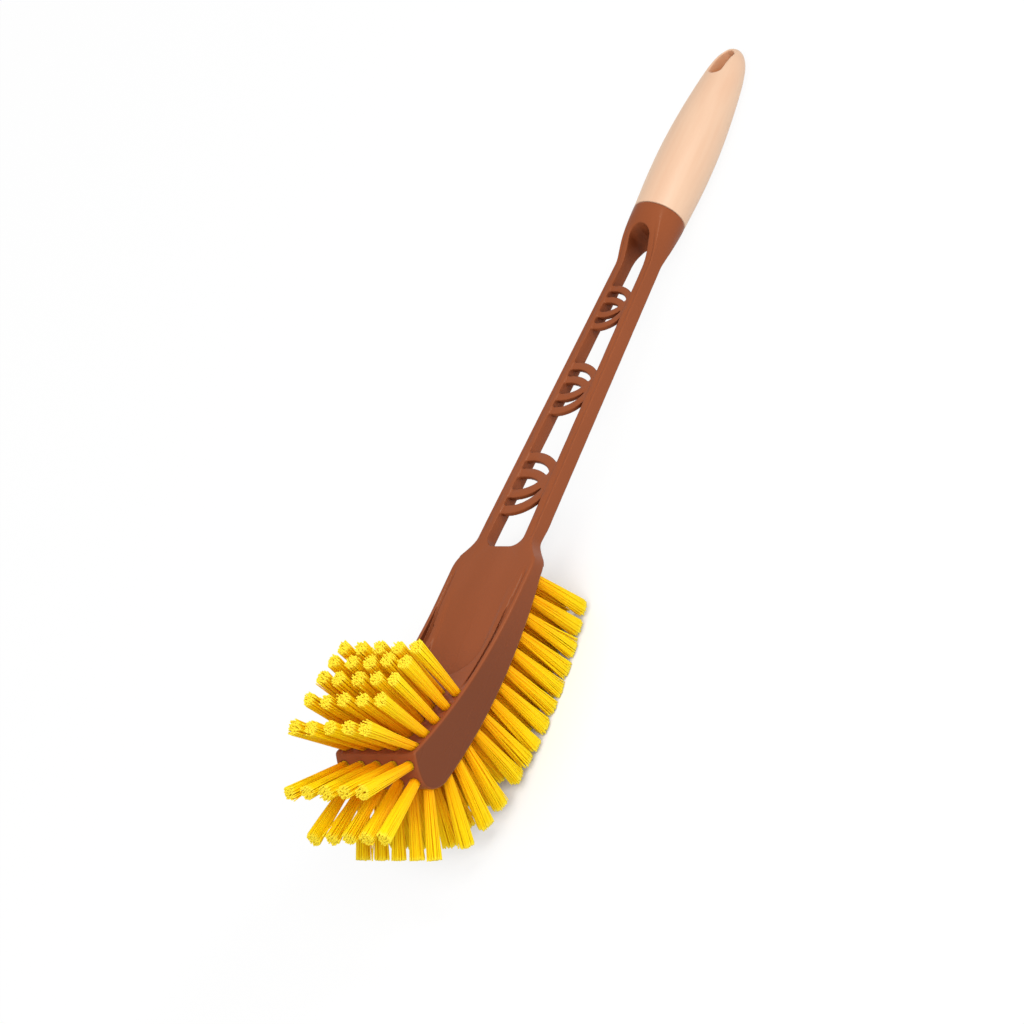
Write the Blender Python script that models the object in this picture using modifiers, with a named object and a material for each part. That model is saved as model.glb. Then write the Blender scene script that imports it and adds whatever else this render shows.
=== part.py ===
"""Toilet brush: a brown one-piece body, a wood-toned grip and 21 rows of yellow tufts.

The shapes are built in the brush's own frame: +X runs from the neck of the head along the
shaft to the grip, +Y runs across the brush, and +Z points out of the front of the head.
The whole brush is then laid down on its lower bristles and its grip, with the floor at z = 0.
Distances towards the nose are written as s, where s = -x. Lengths are metres.
"""

import math

import bmesh
import bpy
from mathutils import Matrix, Vector

# Head, seen from the side
HEAD_LENGTH = 0.1242
HEAD_WIDTH = 0.044
HEEL_PLACE = 0.005
HEEL_DEPTH = 0.0082
BELLY_RADIUS = 0.246
NOSE_RADIUS = 0.0142
NOSE_LIFT = 0.0048
FRONT_STRAIGHT = 0.022
FRONT_RADIUS = 0.280
HEAD_EDGE_ROUND = 0.0012

# Sunken panel in the front of the head
PANEL_START = 0.002
PANEL_TO_TUFTS = 0.011
PANEL_END_BULGE = 0.008
PANEL_END_SLOPE = 0.0055
PANEL_RIM = 0.0026
PANEL_WALL_DRAFT = 0.0010
PANEL_SINK = 0.0018

# Shaft
SHAFT_DEPTH = 0.0068
SHAFT_EDGE_ROUND = 0.0010
NECK_HALF_WIDTH = 0.0153
COLLAR_START = 0.160
COLLAR_START_HALF_WIDTH = 0.0095
SHOULDER_START = 0.008
SHOULDER_LENGTH = 0.013

# Window between the rails
WINDOW_START = 0.0056
WINDOW_END = 0.1746
WINDOW_START_HALF_WIDTH = 0.0100
WINDOW_END_HALF_WIDTH = 0.0053
WINDOW_CORNER_RADIUS = 0.0060

# Groups of crossing arcs: their places along the shaft and their section
ARC_GROUP_PLACES = (0.0390, 0.0900, 0.1337)
ARC_RECESS = 0.0008
ARC_THICKNESS = 0.0022
ARC_RAIL_BITE = 0.0018

# The plan of a group, in half widths of the window there. Each band has the way that it opens
# (-1 towards the nose, 1 towards the grip) and the place of its centre, along and across
ARC_RADIUS_RATIO = 1.85
ARC_BAND_RATIO = 0.40
ARC_BAY_RATIO = 2.2
ARC_BANDS = ((-1, -0.26, 0.60), (-1, -1.21, 0.60), (1, 0.28, 0.80), (1, 1.23, 0.80))

# Collar and grip, both round about one axis
COLLAR_LENGTH = 0.024
COLLAR_FLARE = 0.8
COLLAR_SQUARENESS = 5
ROUND_SQUARENESS = 2
GRIP_AXIS_DEPTH = 0.0030
GRIP_BASE_RADIUS = 0.01185
GRIP_LENGTH = 0.0903
SPIGOT_RADIUS = 0.0062
SPIGOT_LENGTH = 0.044
SPIGOT_POINT = 0.003
SPIGOT_ROOT = 0.006
SLOT_LENGTH = 0.0165
SLOT_WIDTH = 0.0066
SLOT_END_WALL = 0.0030

# Outline of the grip, in shares of its length and of its base radius
GRIP_SWELL = 0.097
GRIP_SWELL_END = 0.886
GRIP_TAPER = 0.531
GRIP_TAPER_START = 0.10
GRIP_TIP_START = 0.665
GRIP_TIP_POWER = 5.4

# Tufts
COLUMNS = 5
COLUMN_TO_SIDE = 0.0042
COLUMN_SPLAY = 1.6
FRONT_ROWS = 5
FRONT_ROW_PITCH = 0.0090
FRONT_ROW_TO_NOSE = 0.0117
FRONT_LEANS = (4, 4, 6, 13, 23)
FRONT_TUFT_LENGTH = 0.0360
NOSE_ROW_PLACES = (34, -2, -42)
NOSE_TUFT_ANGLES = (35, 7, -41)
NOSE_TUFT_LENGTHS = (0.0360, 0.0337, 0.0308)
BELLY_ROWS = 13
BELLY_FIRST_ROW = 0.0054
BELLY_ROW_TO_NOSE = 0.0162
BELLY_HEEL_LEAN = 14
BELLY_MIDDLE_LEAN = 1
BELLY_NOSE_LEANS = (-12, -20, -30)
BELLY_TUFT_LENGTH = 0.0340
BELLY_TUFT_SWELL = 0.0022
STRAND_SIDES = 4
STRAND_ROOT_HALF = 0.00070
STRAND_TIP_HALF = 0.00085
STRAND_ROOT_OFFSET = 0.00095
STRAND_TIP_OFFSET = 0.00175
STRAND_EMBED = 0.0012
SLICE_WIDTH = 0.0048
SLICE_DEPTH = 0.0030
SLICE_END_MARGIN = 0.0022

# Gaps between separate pieces
FIT_GAP = 0.0003

SHAFT_TAPER = (NECK_HALF_WIDTH - COLLAR_START_HALF_WIDTH) / COLLAR_START
COLLAR_END = COLLAR_START + COLLAR_LENGTH
GRIP_START = COLLAR_END + FIT_GAP
HEAD_HALF_WIDTH = HEAD_WIDTH / 2
COLUMN_PITCH = (HEAD_WIDTH - 2 * COLUMN_TO_SIDE) / (COLUMNS - 1)
FRONT_FIRST_ROW = HEAD_LENGTH - FRONT_ROW_TO_NOSE - (FRONT_ROWS - 1) * FRONT_ROW_PITCH
BELLY_ROW_PITCH = (HEAD_LENGTH - BELLY_ROW_TO_NOSE - BELLY_FIRST_ROW) / (BELLY_ROWS - 1)
PANEL_END = FRONT_FIRST_ROW - PANEL_TO_TUFTS

# How far a cutter that goes right through reaches to each side
CUTTER_REACH = 2 * GRIP_BASE_RADIUS


def smooth(share):
    """A share from 0 to 1, with a soft start and end."""
    return share * share * (3 - 2 * share)


def shaft_half_width(x):
    return NECK_HALF_WIDTH - SHAFT_TAPER * x


def window_half_width(x):
    share = (x - WINDOW_START) / (WINDOW_END - WINDOW_START)
    return WINDOW_START_HALF_WIDTH + share * (WINDOW_END_HALF_WIDTH - WINDOW_START_HALF_WIDTH)


def arc(centre, radius, start, end, steps):
    """Points on an arc from one angle to the other, in degrees."""
    points = []
    for step in range(steps + 1):
        angle = math.radians(start + (end - start) * step / steps)
        points.append(centre + radius * Vector((math.cos(angle), math.sin(angle))))
    return points


def circles_meet(centre_a, radius_a, centre_b, radius_b, side):
    """The point where two circles cross, on the left (+1) or right (-1) of the line from a to b."""
    between = centre_b - centre_a
    reach = (radius_a**2 - radius_b**2 + between.length_squared) / (2 * between.length)
    aside = math.sqrt(radius_a**2 - reach**2)
    along = between.normalized()
    return centre_a + reach * along + side * aside * Vector((-along.y, along.x))


def angle_of(point, centre):
    offset = point - centre
    return math.degrees(math.atan2(offset.y, offset.x))


class HeadOutline:
    """The side outline of the head, in (s, z): a straight and an arc in front, the nose, the belly."""

    nose = Vector((HEAD_LENGTH - NOSE_RADIUS, NOSE_LIFT))
    heel = Vector((HEEL_PLACE, -HEEL_DEPTH))
    front = Vector((FRONT_STRAIGHT, FRONT_RADIUS))
    belly = circles_meet(heel, BELLY_RADIUS, nose, BELLY_RADIUS - NOSE_RADIUS, 1)
    lip = circles_meet(front, FRONT_RADIUS, nose, NOSE_RADIUS, 1)

    @classmethod
    def front_at(cls, s):
        """(point, outward direction) of the front surface at s."""
        if s <= FRONT_STRAIGHT:
            return Vector((s, 0)), Vector((0, 1))
        aside = s - cls.front.x
        inward = Vector((-aside, math.sqrt(FRONT_RADIUS**2 - aside**2))) / FRONT_RADIUS
        return cls.front - FRONT_RADIUS * inward, inward

    @classmethod
    def belly_at(cls, s):
        aside = s - cls.belly.x
        outward = Vector((aside, -math.sqrt(BELLY_RADIUS**2 - aside**2))) / BELLY_RADIUS
        return cls.belly + BELLY_RADIUS * outward, outward

    @classmethod
    def nose_at(cls, angle):
        outward = Vector((math.cos(math.radians(angle)), math.sin(math.radians(angle))))
        return cls.nose + NOSE_RADIUS * outward, outward

    @classmethod
    def points(cls):
        """The closed outline, from the neck along the front, round the nose and back."""
        neck = -SHOULDER_START
        belly_end = angle_of(cls.nose, cls.belly)
        outline = [Vector((neck, 0))]
        outline += arc(cls.front, FRONT_RADIUS, -90, angle_of(cls.lip, cls.front), 10)
        outline += arc(cls.nose, NOSE_RADIUS, angle_of(cls.lip, cls.nose), belly_end, 12)[1:]
        outline += arc(cls.belly, BELLY_RADIUS, belly_end, angle_of(cls.heel, cls.belly), 12)[1:]
        outline.append(Vector((neck, -SHAFT_DEPTH)))
        return outline


def clear_scene():
    for obj in list(bpy.data.objects):
        bpy.data.objects.remove(obj)


def make_material(name, colour, roughness):
    material = bpy.data.materials.new(name)
    material.use_nodes = True
    shader = material.node_tree.nodes["Principled BSDF"]
    shader.inputs["Base Color"].default_value = (*colour, 1)
    shader.inputs["Roughness"].default_value = roughness
    shader.inputs["Metallic"].default_value = 0
    material.diffuse_color = (*colour, 1)
    return material


def add_object(name, mesh, collection):
    obj = bpy.data.objects.new(name, mesh)
    collection.objects.link(obj)
    return obj


def mesh_from(name, work):
    """A mesh datablock from a bmesh, with its faces turned out."""
    bmesh.ops.recalc_face_normals(work, faces=work.faces)
    mesh = bpy.data.meshes.new(name)
    work.to_mesh(mesh)
    work.free()
    return mesh


def slab(name, outline, low, high, collection):
    """A flat outline in x and y, filled and thickened from z = low to z = high."""
    curve = bpy.data.curves.new(name, "CURVE")
    curve.dimensions = "2D"
    curve.fill_mode = "BOTH"
    curve.extrude = (high - low) / 2
    spline = curve.splines.new("POLY")
    spline.points.add(len(outline) - 1)
    for point, (x, y) in zip(spline.points, outline):
        point.co = (x, y, 0, 1)
    spline.use_cyclic_u = True
    guide = bpy.data.objects.new(name, curve)
    collection.objects.link(guide)
    mesh = bpy.data.meshes.new_from_object(guide.evaluated_get(bpy.context.evaluated_depsgraph_get()))
    bpy.data.objects.remove(guide)
    work = bmesh.new()
    work.from_mesh(mesh)
    bmesh.ops.remove_doubles(work, verts=work.verts, dist=1e-6)
    bmesh.ops.recalc_face_normals(work, faces=work.faces)
    bmesh.ops.dissolve_limit(work, angle_limit=1e-3, verts=work.verts, edges=work.edges)
    bmesh.ops.translate(work, verts=work.verts, vec=(0, 0, (low + high) / 2))
    return add_object(name, mesh_from(name, work), collection)


def as_helper(obj):
    """A tool of a Boolean, which isn't a piece of the brush."""
    obj.hide_render = True
    obj.display_type = "WIRE"
    return obj


def boolean(obj, operation, tool, crossing=False):
    modifier = obj.modifiers.new(f"{operation.lower()} {tool.name}", "BOOLEAN")
    modifier.operation = operation
    modifier.solver = "EXACT"
    modifier.use_self = crossing
    modifier.object = as_helper(tool)


def round_edges(obj, width, segments, sharper_than):
    modifier = obj.modifiers.new("rounded edges", "BEVEL")
    modifier.width = width
    modifier.segments = segments
    modifier.limit_method = "ANGLE"
    modifier.angle_limit = math.radians(sharper_than)


def make_head(collection):
    """The curved block of the head, as wide as the brush."""
    outline = [(-point.x, point.y) for point in HeadOutline.points()]
    head = slab("head_block", outline, -HEAD_HALF_WIDTH, HEAD_HALF_WIDTH, collection)
    head.data.transform(Matrix.Rotation(math.radians(90), 4, "X"))
    round_edges(head, HEAD_EDGE_ROUND, 2, 60)
    return head


def shoulder_outline():
    """The head from above: an S-shaped shoulder on each side, then clear of the head."""
    beyond = HEAD_HALF_WIDTH + HEAD_EDGE_ROUND
    neck_half = shaft_half_width(SHOULDER_START)
    steps = 8
    side = []
    for step in range(steps + 1):
        share = step / steps
        x = SHOULDER_START - share * SHOULDER_LENGTH
        side.append((x, neck_half + smooth(share) * (beyond - neck_half)))
    side.append((-HEAD_LENGTH - beyond, beyond))
    return side + [(x, -y) for x, y in reversed(side)]


def make_shaft(collection):
    """The tapered flat bar that the window turns into two rails."""
    root = -SHOULDER_START
    outline = [(root, shaft_half_width(root)), (COLLAR_START, shaft_half_width(COLLAR_START))]
    outline += [(x, -y) for x, y in reversed(outline)]
    shaft = slab("shaft_bar", outline, -SHAFT_DEPTH, 0, collection)
    round_edges(shaft, SHAFT_EDGE_ROUND, 2, 60)
    return shaft


def window_outline():
    """Straight converging sides, a round arch at the collar and round corners at the head."""
    arch_centre = WINDOW_END - WINDOW_END_HALF_WIDTH
    arch_half = window_half_width(arch_centre)
    arch_stretch = WINDOW_END_HALF_WIDTH / arch_half
    half = []
    for point in arc(Vector((0, 0)), arch_half, 0, 90, 8):
        half.append((arch_centre + arch_stretch * point.x, point.y))
    corner = WINDOW_CORNER_RADIUS
    centre = Vector((WINDOW_START + corner, window_half_width(WINDOW_START) - corner))
    half += [tuple(point) for point in arc(centre, corner, 90, 180, 6)]
    return half + [(x, -y) for x, y in reversed(half[1:])]


def make_window_cutter(collection):
    return slab("window_cutter", window_outline(), -CUTTER_REACH, CUTTER_REACH, collection)


def collar_section(share):
    """(half width, lowest z, highest z, squareness) of the collar at this share of its length."""
    flare = smooth(min(share / COLLAR_FLARE, 1))
    half = COLLAR_START_HALF_WIDTH + flare * (GRIP_BASE_RADIUS - COLLAR_START_HALF_WIDTH)
    low = -SHAFT_DEPTH + flare * (SHAFT_DEPTH - GRIP_AXIS_DEPTH - GRIP_BASE_RADIUS)
    high = flare * (GRIP_BASE_RADIUS - GRIP_AXIS_DEPTH)
    squareness = COLLAR_SQUARENESS + share * (ROUND_SQUARENESS - COLLAR_SQUARENESS)
    return half, low, high, squareness


def make_collar(collection):
    """A loft from the flat bar to the round end of the grip."""
    rings = 9
    sides = 32
    hidden_root = 0.97
    work = bmesh.new()
    loops = []
    for ring in range(rings + 1):
        share = ring / rings
        half, low, high, squareness = collar_section(share)
        x = COLLAR_START - SHAFT_EDGE_ROUND * (1 - share) + share * COLLAR_LENGTH
        inset = 1 if ring else hidden_root
        loop = []
        for side in range(sides):
            angle = 2 * math.pi * side / sides
            across = math.copysign(abs(math.cos(angle)) ** (2 / squareness), math.cos(angle))
            up = math.copysign(abs(math.sin(angle)) ** (2 / squareness), math.sin(angle))
            y = inset * half * across
            z = (low + high) / 2 + inset * (high - low) / 2 * up
            loop.append(work.verts.new((x, y, z)))
        loops.append(loop)
    for before, after in zip(loops, loops[1:]):
        for side in range(sides):
            following = (side + 1) % sides
            work.faces.new((before[side], before[following], after[following], after[side]))
    work.faces.new(loops[0])
    work.faces.new(loops[-1])
    return add_object("collar_loft", mesh_from("collar_loft", work), collection)


def place_turned(obj):
    """Lays a turned shape's own +Z along +X, on the axis of the grip."""
    obj.rotation_euler = (0, math.radians(90), 0)
    obj.location = (0, 0, -GRIP_AXIS_DEPTH)


def turned(name, profile, steps, collection):
    """A solid of revolution from (distance along the grip, radius), tip first."""
    work = bmesh.new()
    points = [work.verts.new((radius, 0, along)) for along, radius in profile]
    for start, end in zip(points, points[1:]):
        work.edges.new((start, end))
    mesh = bpy.data.meshes.new(name)
    work.to_mesh(mesh)
    work.free()
    obj = add_object(name, mesh, collection)
    screw = obj.modifiers.new("turned", "SCREW")
    screw.axis = "Z"
    screw.steps = steps
    screw.render_steps = steps
    screw.use_merge_vertices = True
    screw.merge_threshold = 1e-6
    place_turned(obj)
    return obj


def make_spigot(collection):
    """The round core that carries the grip, rooted in the collar."""
    end = COLLAR_END + SPIGOT_LENGTH
    root = COLLAR_END - SPIGOT_ROOT
    narrow = SPIGOT_RADIUS - SPIGOT_POINT / 2
    profile = [(end, 0), (end, narrow), (end - SPIGOT_POINT, SPIGOT_RADIUS)]
    profile += [(root, SPIGOT_RADIUS), (root, 0)]
    return turned("spigot_core", profile, 24, collection)


def arc_band(work, centre, radius, width, facing):
    """One band of an arc group: half of a flat ring, opening towards -X or +X."""
    steps = 14
    low = -ARC_RECESS - ARC_THICKNESS
    high = -ARC_RECESS
    outer = arc(centre, radius + width / 2, -90, 90, steps)
    inner = arc(centre, radius - width / 2, 90, -90, steps)
    ring = [(centre.x + facing * (point.x - centre.x), point.y) for point in outer + inner]
    lower = [work.verts.new((x, y, low)) for x, y in ring]
    upper = [work.verts.new((x, y, high)) for x, y in ring]
    last = len(ring) - 1
    for step in range(last + 1):
        following = (step + 1) % (last + 1)
        work.faces.new((lower[step], lower[following], upper[following], upper[step]))
    for step in range(steps):
        across = last - step
        for side in (lower, upper):
            work.faces.new((side[step], side[step + 1], side[across - 1], side[across]))


def make_arc_group(number, place, collection):
    """Two arches that start across the far rail and two that sweep up from it, crossing."""
    half = window_half_width(place)
    radius = ARC_RADIUS_RATIO * half
    width = ARC_BAND_RATIO * half
    pieces = []
    for band, (facing, along, across) in enumerate(ARC_BANDS):
        work = bmesh.new()
        centre = Vector((place + along * half, across * half))
        arc_band(work, centre, radius, width, -facing)
        name = f"arc_{number}_{band}"
        pieces.append(add_object(name, mesh_from(name, work), collection))
    group = pieces[0]
    for piece in pieces[1:]:
        boolean(group, "UNION", piece)
    reach = ARC_BAY_RATIO * half
    outline = []
    for x in (place - reach, place + reach):
        outline.append((x, window_half_width(x) + ARC_RAIL_BITE))
    outline += [(x, -y) for x, y in reversed(outline)]
    bay = slab(f"arc_bay_{number}", outline, -SHAFT_DEPTH, 0, collection)
    boolean(group, "INTERSECT", bay)
    return group


def panel_half_outline(half_width, end, bulge):
    """From the neck to the round end of the panel, as (s, y) on one side."""
    steps = 8
    points = [(PANEL_START, half_width)]
    for step in range(steps + 1):
        angle = math.radians(90 * step / steps)
        points.append((end - bulge + bulge * math.sin(angle), half_width * math.cos(angle)))
    return points


def make_panel_cutter(collection):
    """The hollow of the panel: a floor that sinks towards the nose, and sloping walls."""
    work = bmesh.new()
    half = HEAD_HALF_WIDTH - PANEL_RIM
    for s, y in panel_half_outline(half - PANEL_WALL_DRAFT, PANEL_END, PANEL_END_BULGE):
        floor = -PANEL_SINK * (s - PANEL_START) / (PANEL_END - PANEL_START)
        for side in (-1, 1):
            work.verts.new((-s, side * y, floor))
    top = HeadOutline.front_at(PANEL_END + PANEL_END_SLOPE)[0].y
    for s, y in panel_half_outline(half, PANEL_END + PANEL_END_SLOPE, PANEL_END_BULGE):
        for side in (-1, 1):
            work.verts.new((-s, side * y, top))
    bmesh.ops.convex_hull(work, input=work.verts)
    return add_object("panel_cutter", mesh_from("panel_cutter", work), collection)


def rows():
    """Each row's name, root, outward direction, tuft direction and tuft length, in (s, z)."""
    found = []
    for row in range(FRONT_ROWS):
        root, outward = HeadOutline.front_at(FRONT_FIRST_ROW + row * FRONT_ROW_PITCH)
        lean = math.radians(FRONT_LEANS[row])
        along = Vector((math.sin(lean), math.cos(lean)))
        found.append((f"bristle_row_front_{row + 1}", root, outward, along, FRONT_TUFT_LENGTH))
    for row, (place, tilt) in enumerate(zip(NOSE_ROW_PLACES, NOSE_TUFT_ANGLES)):
        root, outward = HeadOutline.nose_at(place)
        along = Vector((math.cos(math.radians(tilt)), math.sin(math.radians(tilt))))
        found.append((f"bristle_row_nose_{row + 1}", root, outward, along, NOSE_TUFT_LENGTHS[row]))
    fanned = len(BELLY_NOSE_LEANS)
    for row in range(BELLY_ROWS):
        root, outward = HeadOutline.belly_at(BELLY_FIRST_ROW + row * BELLY_ROW_PITCH)
        straight = BELLY_ROWS - fanned
        if row < straight:
            share = row / (straight - 1)
            lean = BELLY_HEEL_LEAN + share * (BELLY_MIDDLE_LEAN - BELLY_HEEL_LEAN)
        else:
            lean = BELLY_NOSE_LEANS[row - straight]
        along = Vector((-math.sin(math.radians(lean)), -math.cos(math.radians(lean))))
        swell = math.sin(math.pi * row / (BELLY_ROWS - 1))
        length = BELLY_TUFT_LENGTH + BELLY_TUFT_SWELL * swell
        found.append((f"bristle_row_belly_{row + 1:02d}", root, outward, along, length))
    return found


def in_space(flat, y=0.0):
    """A point or direction of the side view, (s, z), as x, y and z."""
    return Vector((-flat.x, y, flat.y))


def slice_frame(root, outward):
    """The frame of a slice: its Z is the head's outward direction, its Y runs across."""
    up = in_space(outward)
    across = Vector((0, 1, 0))
    along = across.cross(up)
    frame = Matrix((along, across, up)).transposed().to_4x4()
    return Matrix.Translation(in_space(root)) @ frame


def add_slice(work, root, outward, margin, above):
    """A bar across the head, set in its surface, grown by margin and reaching above it."""
    length = (COLUMNS - 1) * COLUMN_PITCH + 2 * SLICE_END_MARGIN + 2 * margin
    depth = SLICE_DEPTH + margin
    size = Matrix.Diagonal((SLICE_WIDTH + 2 * margin, length, depth + above, 1))
    middle = Matrix.Translation((0, 0, (above - depth) / 2))
    bmesh.ops.create_cube(work, size=1, matrix=slice_frame(root, outward) @ middle @ size)


def add_strand(work, start, end, across):
    """One thick strand from start to end, flat side to across, a little wider at its tip."""
    up = (end - start).normalized()
    beside = up.cross(across).normalized()
    frame = Matrix((beside.cross(up), beside, up)).transposed().to_4x4()
    half_side_turn = Matrix.Rotation(math.pi / STRAND_SIDES, 4, "Z")
    bmesh.ops.create_cone(
        work,
        cap_ends=True,
        segments=STRAND_SIDES,
        radius1=STRAND_ROOT_HALF * math.sqrt(2),
        radius2=STRAND_TIP_HALF * math.sqrt(2),
        depth=(end - start).length,
        matrix=Matrix.Translation((start + end) / 2) @ frame @ half_side_turn,
    )


def add_tuft(work, root, along, column, length):
    """Four strands that leave one hole and spread towards their tips."""
    y = (column - (COLUMNS - 1) / 2) * COLUMN_PITCH
    splay = math.radians((column - (COLUMNS - 1) / 2) * COLUMN_SPLAY)
    direction = math.cos(splay) * in_space(along) + math.sin(splay) * Vector((0, 1, 0))
    across = direction.cross(in_space(along).cross(Vector((0, 1, 0)))).normalized()
    beside = direction.cross(across)
    for first in (-1, 1):
        for second in (-1, 1):
            aside = first * across + second * beside
            start = in_space(root, y) - STRAND_EMBED * direction + STRAND_ROOT_OFFSET * aside
            end = in_space(root, y) + length * direction + STRAND_TIP_OFFSET * aside
            add_strand(work, start, end, across)


def make_row(name, root, outward, along, length, parts, cutters):
    """A slice of the head's surface with a row of tufts fused to it."""
    work = bmesh.new()
    add_slice(work, root, outward, 0, 0)
    row = add_object(name, mesh_from(name, work), parts)
    work = bmesh.new()
    for column in range(COLUMNS):
        add_tuft(work, root, along, column, length)
    strands = add_object(f"{name}_strands", mesh_from(f"{name}_strands", work), cutters)
    boolean(row, "UNION", strands)
    return row


def make_slot_cutters(collection):
    """The seats of all slices, one gap larger than the slices."""
    work = bmesh.new()
    for name, root, outward, along, length in rows():
        add_slice(work, root, outward, FIT_GAP, SLICE_DEPTH)
    return add_object("slice_seats", mesh_from("slice_seats", work), collection)


def make_body(parts, cutters):
    body = make_head(parts)
    body.name = "brush_body"
    plan = slab("shoulder_plan", shoulder_outline(), -HEAD_WIDTH, HEAD_WIDTH, cutters)
    boolean(body, "INTERSECT", plan)
    boolean(body, "UNION", make_shaft(cutters))
    boolean(body, "UNION", make_collar(cutters))
    boolean(body, "DIFFERENCE", make_window_cutter(cutters))
    boolean(body, "UNION", make_spigot(cutters))
    for number, place in enumerate(ARC_GROUP_PLACES):
        boolean(body, "UNION", make_arc_group(number + 1, place, cutters))
    boolean(body, "DIFFERENCE", make_panel_cutter(cutters))
    boolean(body, "DIFFERENCE", make_slot_cutters(cutters))
    return body


def grip_radius(share):
    """The outer radius at this share of the grip's length: a slow swell, then a long round tip."""
    swell = 1 + GRIP_SWELL * math.sin(math.pi * min(share / GRIP_SWELL_END, 1))
    taper = 1 - GRIP_TAPER * max(share - GRIP_TAPER_START, 0) ** 2
    tip = 1 - max((share - GRIP_TIP_START) / (1 - GRIP_TIP_START), 0) ** GRIP_TIP_POWER
    return GRIP_BASE_RADIUS * swell * taper * math.sqrt(max(tip, 0))


def make_grip(parts, cutters):
    """A turned grip with a blind bore over the spigot and a slot through its tip."""
    rings = 18
    sides = 40
    tip = GRIP_START + GRIP_LENGTH
    bore_end = COLLAR_END + SPIGOT_LENGTH + 2 * FIT_GAP
    bore_radius = SPIGOT_RADIUS + FIT_GAP
    profile = []
    for ring in range(rings + 1):
        share = math.cos(math.pi / 2 * ring / rings)
        profile.append((GRIP_START + share * GRIP_LENGTH, grip_radius(share)))
    profile[0] = (tip, 0)
    profile += [(GRIP_START, bore_radius), (bore_end, bore_radius), (bore_end, 0)]
    grip = turned("grip", profile, sides, parts)
    boolean(grip, "DIFFERENCE", make_hanging_slot(tip, cutters))
    return grip


def make_hanging_slot(tip, collection):
    """A long hole with round ends, straight through the grip from front to back."""
    radius = SLOT_WIDTH / 2
    far = Vector((tip - SLOT_END_WALL - radius, 0))
    near = Vector((tip - SLOT_END_WALL - SLOT_LENGTH + radius, 0))
    outline = arc(far, radius, -90, 90, 8) + arc(near, radius, 90, 270, 8)
    return slab("hanging_slot", outline, -CUTTER_REACH, CUTTER_REACH, collection)


def shape_points(obj, graph):
    """The evaluated mesh's points, its volume and its first moment, in world space."""
    work = bmesh.new()
    work.from_mesh(obj.evaluated_get(graph).to_mesh())
    work.transform(obj.matrix_world)
    bmesh.ops.triangulate(work, faces=work.faces)
    volume, moment = 0.0, Vector()
    for face in work.faces:
        a, b, c = (vert.co for vert in face.verts)
        share = a.dot(b.cross(c)) / 6
        volume += share
        moment += share * (a + b + c) / 4
    points = [vert.co.copy() for vert in work.verts]
    work.free()
    return points, volume, moment


def resting_line(points, balance):
    """The two lowest points, in (x, z), that the brush lies on with its centre between them."""
    hull = []
    for point in sorted((point.x, point.z) for point in points):
        while len(hull) > 1:
            (ax, az), (bx, bz) = hull[-2:]
            if (bx - ax) * (point[1] - az) - (bz - az) * (point[0] - ax) > 0:
                break
            hull.pop()
        hull.append(point)
    for left, right in zip(hull, hull[1:]):
        if left[0] <= balance <= right[0]:
            return left, right
    raise ValueError("the brush does not balance between two points of contact")


def lay_down(pieces):
    """Puts the brush on the floor, lying on its lower tufts and on the back of its grip."""
    bpy.context.view_layer.update()
    graph = bpy.context.evaluated_depsgraph_get()
    points, volume, moment = [], 0.0, Vector()
    for piece in pieces:
        its_points, its_volume, its_moment = shape_points(piece, graph)
        points += its_points
        volume += its_volume
        moment += its_moment
    left, right = resting_line(points, moment.x / volume)
    slope = math.atan2(right[1] - left[1], right[0] - left[0])
    turn = Matrix.Rotation(slope, 4, "Y")
    turned_points = [turn @ point for point in points]
    middle = (min(p.x for p in turned_points) + max(p.x for p in turned_points)) / 2
    floor = min(p.z for p in turned_points)
    pose = bpy.data.objects.new("lying_pose", None)
    bpy.context.scene.collection.objects.link(pose)
    pose.matrix_world = Matrix.Translation((-middle, 0, -floor)) @ turn
    for piece in pieces:
        piece.parent = pose


def parent_helpers(cutters):
    """The helpers of the Booleans move with the brush."""
    pose = bpy.data.objects["lying_pose"]
    for helper in cutters.objects:
        helper.parent = pose


def main():
    clear_scene()
    parts = bpy.data.collections.new("toilet_brush")
    cutters = bpy.data.collections.new("cutters")
    bpy.context.scene.collection.children.link(parts)
    bpy.context.scene.collection.children.link(cutters)
    brown = make_material("brown_plastic", (0.245, 0.088, 0.040), 0.42)
    pale = make_material("wood_toned_plastic", (0.92, 0.66, 0.45), 0.50)
    yellow = make_material("yellow_filament", (0.90, 0.55, 0.01), 0.45)
    body = make_body(parts, cutters)
    body.data.materials.append(brown)
    grip = make_grip(parts, cutters)
    grip.data.materials.append(pale)
    pieces = [body, grip]
    for name, root, outward, along, length in rows():
        row = make_row(name, root, outward, along, length, parts, cutters)
        row.data.materials.append(yellow)
        pieces.append(row)
    lay_down(pieces)
    parent_helpers(cutters)


main()
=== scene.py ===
"""The look of the toilet brush: a moulded brown body, a wood-toned grip and 21 rows of yellow tufts.

The shapes are worked out in the brush's own frame, as its maker would draw it: +X runs from the neck
of the head along the shaft to the grip, +Y across the brush and +Z out of the front of the head.
Distances towards the nose are written as s, where s = -x. Lengths are metres and angles radians.
Body and grip are solids given by a distance field, negative inside, which is how their edges get
the soft rounding of a moulding. The tufts are made filament by filament.
"""

import math

import bpy
import numpy as np
from bpy.props import FloatProperty, FloatVectorProperty, IntProperty, PointerProperty
from mathutils import Matrix, Vector


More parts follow.
